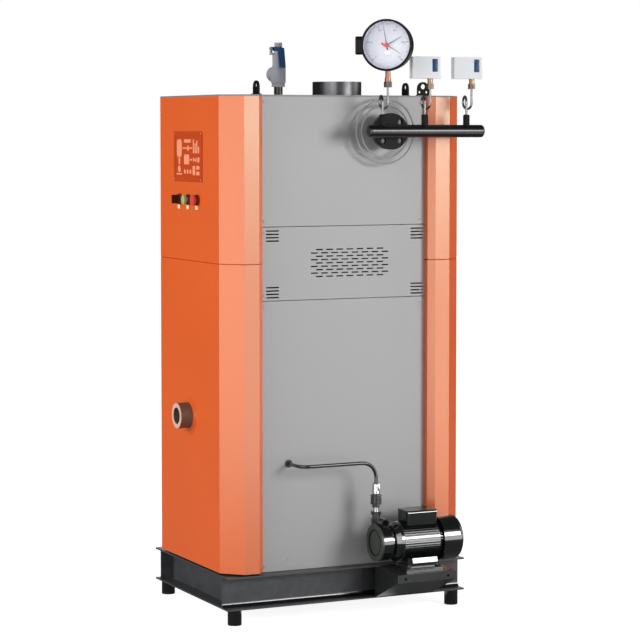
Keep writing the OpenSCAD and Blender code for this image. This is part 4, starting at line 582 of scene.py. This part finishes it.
# Dial gauge: a black pressed case with a contact box at its side, screwed on by a coppery stem with a steel end.
# The white dial carries painted shade: its colour darkens to a lilac grey away from a painted bright spot right
# of its middle. The pointer and one limit hand are black, the other is red.
GAUGE_AT = (0.372, 0.0885, 1.722)
GAUGE_TURN = math.radians(-39)
DIAL_FACE = 0.0093
DIAL_PAINTED_LIGHT_AT = (0.386, 0.103, 1.712)
STEM_END_Z = 1.61
case_black = paint("case black", (0.005, 0.005, 0.005), 0.4, dust=0.002, sheen=0.12)
copper_brass = metal("coppery brass", (0.3, 0.15, 0.1), 0.35, tarnish=0.35, dull=(0.2, 0.12, 0.08))
shaded_dial_white = paint("dial white with painted shade", (0.82, 0.82, 0.86), 0.4, dust=0.0, cloud=0.01, bump=0.01)
hand_black = paint("hand black", (0.015, 0.015, 0.017), 0.35, dust=0.0)
hand_red = paint("hand red", (0.3, 0.05, 0.04), 0.35, dust=0.0)
stem_end = metal("stem end", (0.12, 0.1, 0.09), 0.35, tarnish=0.3)
eased("gauge_case", "gauge_shell", 0.002, case_black)
two_tone(eased("gauge_stem", "gauge_shank", 0.0006, copper_brass), stem_end,
         lambda c: c.z < STEM_END_Z)
# Painted shade and light on the dial: the white turns lilac grey with the distance from a bright spot right of
# its middle.
dial_tree = shaded_dial_white.node_tree
spot = dial_tree.nodes.new("ShaderNodeTexCoord")
reach = dial_tree.nodes.new("ShaderNodeVectorMath")
reach.operation = "DISTANCE"
reach.inputs[1].default_value = DIAL_PAINTED_LIGHT_AT
dial_tree.links.new(spot.outputs["Object"], reach.inputs[0])
dial_shade_fade = dial_tree.nodes.new("ShaderNodeMapRange")
dial_shade_fade.inputs["From Min"].default_value = 0.01
dial_shade_fade.inputs["From Max"].default_value = 0.11
dial_shade_fade.inputs["To Max"].default_value = 1.0
dial_tree.links.new(reach.outputs["Value"], dial_shade_fade.inputs[0])
dial_painted_shade_mix = dial_tree.nodes.new("ShaderNodeMix")
dial_painted_shade_mix.data_type = "RGBA"
dial_painted_shade_mix.inputs["B"].default_value = (0.44, 0.44, 0.5, 1)
dial_tree.links.new(dial_shade_fade.outputs[0], dial_painted_shade_mix.inputs["Factor"])
dial_tree.links.new(dial_tree.nodes["Group"].outputs["Colour"], dial_painted_shade_mix.inputs["A"])
dial_tree.links.new(dial_painted_shade_mix.outputs["Result"], dial_tree.nodes["Principled BSDF"].inputs["Base Color"])
dress(shaded_dial_white, "gauge_dial")
dress(hand_black, "gauge_pointer", "gauge_high_hand")
dress(hand_red, "gauge_low_hand")


# The dial's marks, fifty steps over 270 degrees, printed black, with six numbers from
# 0 to 1.0. Both are laid on the dial as thin raised print.
def on_gauge(bm):
    """Takes parts made with +Z out of the face and +X down to the gauge."""
    place = (
        Matrix.Translation(GAUGE_AT)
        @ Matrix.Rotation(GAUGE_TURN, 4, "Z")
        @ Matrix.Rotation(math.radians(90), 4, "Y")
    )
    bmesh.ops.transform(bm, matrix=place, verts=bm.verts[:])


def turned(bm, outline, steps=64):
    """A shape turned about Z from an outline of (radius, height) points."""
    dots = [bm.verts.new((r, 0, z)) for r, z in outline]
    lines = [bm.edges.new((dots[i], dots[i + 1])) for i in range(len(dots) - 1)]
    bmesh.ops.spin(bm, geom=dots + lines, axis=(0, 0, 1), cent=(0, 0, 0), dvec=(0, 0, 0),
                   angle=math.tau, steps=steps, use_merge=True)
    bmesh.ops.remove_doubles(bm, verts=bm.verts[:], dist=0.000001)


def plate(bm, x0, y0, x1, y1, z0, z1, turn=0.0):
    """A small flat plate; turn swings it about Z."""
    middle = Vector(((x0 + x1) / 2, (y0 + y1) / 2, (z0 + z1) / 2))
    size = Matrix.Diagonal((x1 - x0, y1 - y0, z1 - z0, 1))
    bmesh.ops.create_cube(bm, size=1, matrix=Matrix.Rotation(turn, 4, "Z") @ Matrix.Translation(middle) @ size)


SCALE_STEPS = 50
SCALE_START = 135
SCALE_SPAN = 270
SCALE_R = 0.0655
NUMBER_R = 0.0495
PRINT_RISE = 0.00015
bm = bmesh.new()
for i in range(SCALE_STEPS + 1):
    long_mark = i % 10 == 0
    mid_mark = i % 5 == 0
    mark = 0.0085 if long_mark else 0.0062 if mid_mark else 0.004
    wide = 0.0009 if long_mark else 0.0006 if mid_mark else 0.00035
    plate(bm, -SCALE_R, -wide, -SCALE_R + mark, wide, DIAL_FACE, DIAL_FACE + PRINT_RISE,
          turn=math.radians(SCALE_START - i * SCALE_SPAN / SCALE_STEPS))
on_gauge(bm)
add_piece("dial_marks", bm, hand_black)
for i in range(6):
    letters = bpy.data.curves.new("dial number %d" % i, "FONT")
    letters.body = "%.1f" % (i * 0.2) if i else "0"
    letters.size = 0.0078
    letters.extrude = 0.00008
    letters.align_x = "CENTER"
    letters.align_y = "CENTER"
    text = bpy.data.objects.new("dial number %d" % i, letters)
    bpy.context.scene.collection.objects.link(text)
    mesh = text.to_mesh().copy()
    bm = bmesh.new()
    bm.from_mesh(mesh)
    bpy.data.objects.remove(text)
    a = math.radians(SCALE_START - i * SCALE_SPAN / 5)
    stand = (
        Matrix.Translation((-math.cos(a) * NUMBER_R, -math.sin(a) * NUMBER_R, DIAL_FACE + 0.0001))
        @ Matrix.Rotation(math.radians(90), 4, "Z")
    )
    bmesh.ops.transform(bm, matrix=stand, verts=bm.verts[:])
    on_gauge(bm)
    add_piece("dial_number_%d" % i, bm, hand_black)


# The gauge's black front rim, the white ring between dial and glass, which shares the dial's painted shade, and
# the red setting nut with its tab on the hands' post. The rim is rolled over the glass.
bm = bmesh.new()
turned(bm, [(0.0704, 0.0246), (0.0738, 0.0262), (0.0762, 0.0262), (0.0772, 0.0252), (0.0772, 0.0235)], steps=96)
on_gauge(bm)
add_piece("gauge_rim", bm, case_black)
bm = bmesh.new()
turned(bm, [(0.0705, 0.0094), (0.0705, 0.0228), (0.0692, 0.0228), (0.0676, 0.0094)], steps=96)
on_gauge(bm)
add_piece("dial_ring", bm, shaded_dial_white)
bm = bmesh.new()
turned(bm, [(0, 0.0222), (0.0042, 0.0222), (0.0062, 0.0216), (0.0066, 0.0208), (0.0066, 0.0206), (0, 0.0206)],
       steps=40)
plate(bm, 0.002, -0.0155, 0.008, -0.002, 0.0206, 0.0216, turn=math.radians(-38))
on_gauge(bm)
nut_red = paint("setting nut red", (0.62, 0.045, 0.05), 0.35, dust=0.0)
add_piece("setting_nut", bm, nut_red, body="pointer")


# The blank white plate low on the dial, narrow at the top, held by six small black
# screws, and the clear glass in front of it all.
bm = bmesh.new()
low_edge = [(0.034, -0.0125), (0.034, 0.0125), (0.012, 0.0045), (0.012, -0.0045)]
prism(bm, low_edge, "Z", DIAL_FACE - 0.0002, DIAL_FACE + 0.0011)
bmesh.ops.bevel(bm, geom=bm.edges[:], affect="EDGES", offset=0.0003, segments=2, profile=0.5, material=-1)
on_gauge(bm)
plate_white = paint("dial plate white", (0.93, 0.93, 0.95), 0.4, dust=0.0, cloud=0.01)
add_piece("dial_plate", bm, plate_white)
bm = bmesh.new()
screw_places = [(0.0315, y) for y in (-0.0102, -0.0035, 0.0035, 0.0102)] + [(0.0255, -0.0085), (0.0255, 0.0085)]
for x, y in screw_places:
    bmesh.ops.create_cone(bm, cap_ends=True, segments=16, radius1=0.0012, radius2=0.001, depth=0.0008,
                          matrix=Matrix.Translation((x, y, DIAL_FACE + 0.0014)))
on_gauge(bm)
add_piece("dial_screws", bm, hand_black)
clear, _, clear_shader = new_material("clear glass")
clear_shader.inputs["Base Color"].default_value = (0.97, 0.98, 1.0, 1)
clear_shader.inputs["Roughness"].default_value = 0.0
clear_shader.inputs["Transmission Weight"].default_value = 1.0
clear_shader.inputs["IOR"].default_value = 1.2
dress(clear, "gauge_glass")


# Two pressure switches: white moulded boxes screwed on worn brass fittings, each with
# a navy window over its scale and four screw heads in the front.
SWITCH_STEP = 0.1425
SWITCH_FOOT_Z = 1.6245
SWITCH_TURN = math.radians(-18)
white_box = paint("white moulding", (0.86, 0.88, 0.9), 0.35, dust=0.01, cloud=0.01)
fitting_brown = metal("worn brass", (0.3, 0.2, 0.13), 0.32, tarnish=0.4)
for i in (1, 2):
    made = eased("pressure_switch_%d" % i, "switch_body_%d" % i, 0.0012, white_box)
    two_tone(made, fitting_brown, lambda c: c.z < SWITCH_FOOT_Z - 0.0001)
window_navy = paint("window navy", (0.012, 0.06, 0.17), 0.25, coat=0.4, dust=0.0)
for i in (1, 2):
    place = (
        Matrix.Translation((GAUGE_AT[0], GAUGE_AT[1] + i * SWITCH_STEP, SWITCH_FOOT_Z))
        @ Matrix.Rotation(SWITCH_TURN, 4, "Z")
    )
    bm = bmesh.new()
    bmesh.ops.create_cube(bm, size=1, matrix=Matrix.Translation((0.0217, 0.0109, 0.039))
                          @ Matrix.Diagonal((0.0012, 0.0158, 0.0382, 1)))
    bmesh.ops.bevel(bm, geom=bm.edges[:], affect="EDGES", offset=0.0004, segments=2, profile=0.5, material=-1)
    bmesh.ops.transform(bm, matrix=place, verts=bm.verts[:])
    add_piece("switch_window_%d" % i, bm, window_navy)
    bm = bmesh.new()
    for y, z in ((-0.0545, 0.0055), (-0.0545, 0.06), (0.0255, 0.0055), (0.0255, 0.06)):
        bmesh.ops.create_cone(bm, cap_ends=True, segments=20, radius1=0.0024, radius2=0.0019, depth=0.0011,
                              matrix=Matrix.Translation((0.0235, y, z))
                              @ Matrix.Rotation(math.radians(90), 4, "Y"))
    bmesh.ops.transform(bm, matrix=place, verts=bm.verts[:])
    add_piece("switch_screws_%d" % i, bm, white_box)


# Cover plates where pipes pass through the casing: grey round the steam nozzle, orange
# round the front socket. The grey one is pressed with two rolled beads.
FRONT_PLATE_Y = -0.39
NOZZLE_PLATE_AT = (0.2896, 0.122, 1.466)
BEAD_HALF = 0.003
two_tone(eased("pipe_rosettes", "rosette_plates", 0.0004, grey_coat), orange_coat,
         lambda c: c.y < FRONT_PLATE_Y)
bm = bmesh.new()
for r in (0.0975, 0.08):
    turned(bm, [(r - BEAD_HALF, 0.0), (r - 0.0022, 0.0024), (r, 0.0034), (r + 0.0022, 0.0024),
                (r + BEAD_HALF, 0.0), (r - BEAD_HALF, 0.0)], steps=96)
on_side = Matrix.Translation(NOZZLE_PLATE_AT) @ Matrix.Rotation(math.radians(90), 4, "Y")
bmesh.ops.transform(bm, matrix=on_side, verts=bm.verts[:])
add_piece("rosette_beads", bm, grey_coat)


# Safety valve on its riser: a cast body and its spindle, both in satin nickel, and a
# blue painted test lever at the top that lifts the spindle when it is pulled.
nickel = metal("satin nickel", (0.33, 0.33, 0.37), 0.6, lines=0.05, tarnish=0.3, dull=(0.25, 0.25, 0.28),
               metallic=0.0)
lever_blue = paint("lever blue", (0.008, 0.055, 0.155), 0.45, dust=0.01, sheen=0.25)
dress(nickel, "valve_body", "valve_spindle")
dress(lever_blue, "valve_lever")


# The valve spring inside the body, coiled from round steel wire. It stands for the CAD spring, with a mesh of
# its own.
spring_steel = metal("spring steel", (0.4, 0.4, 0.41), 0.3)
bm = bmesh.new()
bm.from_mesh(nodes["valve_spring"].data)
bmesh.ops.remove_doubles(bm, verts=bm.verts[:], dist=0.00001)
valve_coil = add_piece("valve_coil", bm, spring_steel)
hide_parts("valve_spring")
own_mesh(valve_coil)


# Display on the front: an inset field in deep orange with a plain plant diagram of
# tanks, level bars, pipes, pumps and valves, printed pale on it. Four small screws
# hold its corners.
display_edge = paint("display edge", (0.56, 0.07, 0.012), 0.4, dust=0.02)
display_art = paint("display print", (0.85, 0.3, 0.17), 0.4, dust=0.02, cloud=0.1)
DISPLAY_Y = -0.4012
PRINT_SUNK = 0.0002
PRINT_DEPTH = 0.0006


def art_bar(bm, x0, z0, x1, z1, soft=0.0):
    """A printed bar, with round corners where soft is given."""
    middle = Matrix.Translation(((x0 + x1) / 2, DISPLAY_Y - PRINT_SUNK, (z0 + z1) / 2))
    made = bmesh.ops.create_cube(bm, size=1, matrix=middle @ Matrix.Diagonal((x1 - x0, PRINT_DEPTH, z1 - z0, 1)))
    if soft:
        upright = [e for e in {e for v in made["verts"] for e in v.link_edges}
                   if abs(e.verts[0].co.y - e.verts[1].co.y) > 0.0004]
        bmesh.ops.bevel(bm, geom=upright, affect="EDGES", offset=soft, segments=4, profile=0.5, material=-1)


def art_round(bm, x, z, r, tip=0, segments=28):
    """A printed disc, or half a valve sign where it has three segments."""
    bmesh.ops.create_cone(bm, cap_ends=True, segments=segments, radius1=r, radius2=r, depth=PRINT_DEPTH,
                          matrix=Matrix.Translation((x, DISPLAY_Y - PRINT_SUNK, z))
                          @ Matrix.Rotation(math.radians(90), 4, "X")
                          @ Matrix.Rotation(math.radians(tip), 4, "Z"))


bm = bmesh.new()
art_bar(bm, -0.092, 1.388, -0.052, 1.442, 0.012)
art_bar(bm, -0.078, 1.366, -0.066, 1.386)
art_round(bm, -0.072, 1.352, 0.0105)
art_bar(bm, -0.094, 1.334, -0.05, 1.3385)
art_bar(bm, -0.046, 1.413, -0.012, 1.4175)
art_round(bm, -0.001, 1.4155, 0.0085)
art_bar(bm, 0.0105, 1.413, 0.03, 1.4175)
art_bar(bm, -0.034, 1.432, 0.02, 1.442, 0.004)
for i, top in enumerate((1.442, 1.43, 1.438, 1.42)):
    art_bar(bm, 0.037 + i * 0.0135, 1.4, 0.046 + i * 0.0135, top, 0.002)
art_bar(bm, -0.034, 1.366, 0.008, 1.396, 0.006)
art_bar(bm, 0.014, 1.378, 0.032, 1.3825)
art_round(bm, 0.044, 1.3802, 0.0095, tip=30, segments=3)
art_round(bm, 0.06, 1.3802, 0.0095, tip=-30, segments=3)
art_round(bm, 0.0805, 1.3802, 0.0085)
for i in range(3):
    art_round(bm, -0.028 + i * 0.0225, 1.344, 0.007)
art_bar(bm, 0.034, 1.334, 0.054, 1.362, 0.004)
art_bar(bm, 0.062, 1.334, 0.088, 1.345, 0.003)
art_bar(bm, 0.062, 1.351, 0.088, 1.362, 0.003)
add_piece("plant_diagram", bm, display_art)
SCREW_X = (-0.109, 0.102)
SCREW_Z = (1.32, 1.459)
SCREW_Y = -0.4023
bm = bmesh.new()
for x in SCREW_X:
    for z in SCREW_Z:
        spot = Matrix.Translation((x, SCREW_Y, z)) @ Matrix.Rotation(math.radians(90), 4, "X")
        bmesh.ops.create_cone(bm, cap_ends=True, segments=16, radius1=0.0022, radius2=0.0018, depth=0.001,
                              matrix=spot)
add_piece("display_screws", bm, display_edge)
display_coat = paint("display field", (0.47, 0.055, 0.008), 0.45, dust=0.0, sheen=0.15)
dress(display_coat, "display_panel")


# Controls under the display: a lever selector, a green and a red push button, each in a dark red-brown bezel
# ring with a cream label plate below. The bezels' dark red-brown is painted shade beside the button caps. The
# button caps are domed and ride on the pushed stems.
CONTROL_X = (-0.07, 0.0, 0.07)
CONTROL_Z = 1.259
bezel_shade_brown = paint("bezel brown painted shade", (0.2, 0.036, 0.014), 0.4, dust=0.01, sheen=0.15)
knob_black = paint("knob black", (0.05, 0.01, 0.005), 0.4, dust=0.01, sheen=0.2)
button_green = paint("button green", (0.3, 0.48, 0.17), 0.35, dust=0.01)
button_red = paint("button red", (0.62, 0.06, 0.05), 0.35, dust=0.01)
cream = paint("label cream", (0.88, 0.66, 0.42), 0.45, dust=0.01)


def on_front(bm, x):
    """Takes a control made with +Z outwards to its place on the front cover."""
    place = Matrix.Translation((x, FRONT_FACE, CONTROL_Z)) @ Matrix.Rotation(math.radians(90), 4, "X")
    bmesh.ops.transform(bm, matrix=place, verts=bm.verts[:])


whole = bmesh.new()
for x in CONTROL_X:
    bm = bmesh.new()
    turned(bm, [(0.0108, 0), (0.0165, 0), (0.0165, 0.0042), (0.0152, 0.0058), (0.0142, 0.006), (0.0108, 0.006),
                (0.0108, 0)], steps=48)
    on_front(bm, x)
    mesh = bpy.data.meshes.new("bezel")
    bm.to_mesh(mesh)
    bm.free()
    whole.from_mesh(mesh)
add_piece("bezel_rings", whole, bezel_shade_brown)
LABEL_SIZE = (0.02, 0.0012, 0.0125)
LABEL_LEFT = 0.008
LABEL_DROP = 0.023
bm = bmesh.new()
for x in CONTROL_X:
    middle = (x - LABEL_LEFT, FRONT_FACE - LABEL_SIZE[1] / 2, CONTROL_Z - LABEL_DROP)
    bmesh.ops.create_cube(bm, size=1, matrix=Matrix.Translation(middle) @ Matrix.Diagonal((*LABEL_SIZE, 1)))
bmesh.ops.bevel(bm, geom=bm.edges[:], affect="EDGES", offset=0.0004, segments=2, profile=0.5, material=-1)
add_piece("label_plates", bm, cream)
dress(bezel_shade_brown, "control_bezels")
bm = bmesh.new()
turned(bm, [(0, 0.0198), (0.008, 0.0195), (0.0122, 0.0184), (0.0138, 0.0168), (0.014, 0.0152), (0.014, 0.0123),
            (0, 0.0123)], steps=48)
on_front(bm, CONTROL_X[1])
add_piece("start_cap", bm, button_green, body="start")
bm = bmesh.new()
turned(bm, [(0, 0.0188), (0.01, 0.0185), (0.0148, 0.0174), (0.0163, 0.0158), (0.0165, 0.0146), (0.0165, 0.0119),
            (0, 0.0119)], steps=48)
on_front(bm, CONTROL_X[2])
add_piece("stop_cap", bm, button_red, body="stop")
dress(knob_black, "selector_knob")
dress(button_green, "start_button")
dress(button_red, "stop_button")


# Blow-down socket: a thick steel pipe socket, brown from heat, that stands out of the front cover. Its end,
# where the drain pipe goes in, is faced, and its pale colour is a painted highlight.
SOCKET_END_Y = -0.4395
socket_steel = metal("socket steel", (0.16, 0.11, 0.075), 0.45, tarnish=0.5, metallic=0.4)
socket_end_highlight = paint("socket end painted highlight", (0.66, 0.42, 0.34), 0.35, dust=0.01)
two_tone(eased("blowdown_socket", "socket_pipe", 0.0008, socket_steel), socket_end_highlight,
         lambda c: c.y < SOCKET_END_Y)


# Feed line: a black bent tube from the pump up to the cabinet, with a check valve
# between two chromed unions. The valve's body is black enamel.
UPPER_UNION = (0.376, 0.405)
LOWER_UNION = (0.322, 0.338)
tube_black = paint("tube black", (0.006, 0.006, 0.007), 0.2, coat=0.5, dust=0.005)
chrome = metal("chromed brass", (0.5, 0.5, 0.5), 0.14, lines=0.04, tarnish=0.05)
ribbed = paint("valve enamel", (0.012, 0.012, 0.012), 0.35, coat=0.4, dust=0.01)
dress(tube_black, "feed_tube")
valve = eased("check_valve", "check_valve_body", 0.0006, ribbed)
two_tone(valve, chrome,
         lambda c: UPPER_UNION[0] < c.z < UPPER_UNION[1] or LOWER_UNION[0] < c.z < LOWER_UNION[1])


# Five ribs cast round the check valve's body, in its black enamel, which stiffen it
# and give a grip.
CHECK_VALVE_AT = (0.34, 0.067)
RIB_R = 0.0175
RIB_LOW_Z = 0.345
RIB_STEP = 0.0062
bm = bmesh.new()
for i in range(5):
    bmesh.ops.create_cone(bm, cap_ends=True, segments=32, radius1=RIB_R, radius2=RIB_R, depth=0.0032,
                          matrix=Matrix.Translation((*CHECK_VALVE_AT, RIB_LOW_Z + i * RIB_STEP)))
bmesh.ops.bevel(bm, geom=bm.edges[:], affect="EDGES", offset=0.0006, segments=2, profile=0.5, material=-1)
add_piece("valve_ribs", bm, ribbed)


# Feed pump and its motor: castings and sheet covers in black gloss enamel, the pump's
# front cover in dark bare iron. Inside are a bronze impeller, the copper winding and
# a bright steel shaft. The terminal box and the fan cover have rounded edges.
enamel = paint("black enamel", (0.004, 0.005, 0.005), 0.3, coat=1.0, coat_rough=0.05, dust=0.003, sheen=0.15,
               coat_ior=1.8)
bronze = metal("cast bronze", (0.45, 0.3, 0.12), 0.35)
copper = metal("copper winding", (0.55, 0.22, 0.1), 0.35)
cover_iron = paint("cover iron", (0.04, 0.05, 0.042), 0.45, dust=0.02, sheen=0.4)
dress(enamel, "pump_head", "motor_housing", "motor_fan")
dress(cover_iron, "pump_cover")
box_black = paint("box black", (0.006, 0.008, 0.007), 0.4, coat=0.7, coat_rough=0.04, dust=0.003, sheen=0.1)
eased("terminal_box", "terminal_box_body", 0.0035, box_black)
eased("fan_cover", "fan_cover_body", 0.0012, enamel)
dress(bronze, "pump_impeller")
dress(copper, "motor_stator")
dress(bright_steel, "motor_shaft")


# The drip edge along the terminal box lid, a narrow folded lip in the same enamel
# that runs the length of the lid and catches the light.
LID_ENDS = (0.149, 0.2455)
lip = ((0.393, 0.3165), (0.3953, 0.3165), (0.3941, 0.3208), (0.393, 0.3208))
bm = bmesh.new()
prism(bm, lip, "Y", *LID_ENDS)
add_piece("lid_edge", bm, enamel, crease=5)


# The foot's sloping flank below the motor, cast with the housing and enamelled with it, and a thin black ring
# raised on the face of the pump cover: painted shade that stands for a turned groove.
FOOT_ENDS = (0.163, 0.247)
PUMP_FACE_AT = (0.36, 0.0521, 0.2295)
flank = ((0.388, 0.163), (0.3985, 0.163), (0.3985, 0.1645), (0.3935, 0.1825), (0.388, 0.1825))
bm = bmesh.new()
prism(bm, flank, "Y", *FOOT_ENDS)
add_piece("foot_flank", bm, enamel, crease=5)
# Black ring on the cover's face: painted shade for a groove.
bm = bmesh.new()
turned(bm, [(0.037, 0.0), (0.037, 0.0006), (0.0405, 0.0006), (0.0405, 0.0), (0.037, 0.0)], steps=64)
on_cover = Matrix.Translation(PUMP_FACE_AT) @ Matrix.Rotation(math.radians(90), 4, "X")
bmesh.ops.transform(bm, matrix=on_cover, verts=bm.verts[:])
add_piece("cover_groove_shade", bm, case_black)


# Burner inside the front, a cast housing painted red, flanged to the furnace, with a
# bright sheet fan wheel on its motor's shaft.
burner_red = paint("burner red", (0.35, 0.03, 0.02), 0.35, coat=0.3, dust=0.05)
dress(burner_red, "burner")
dress(thin_sheet, "burner_fan")
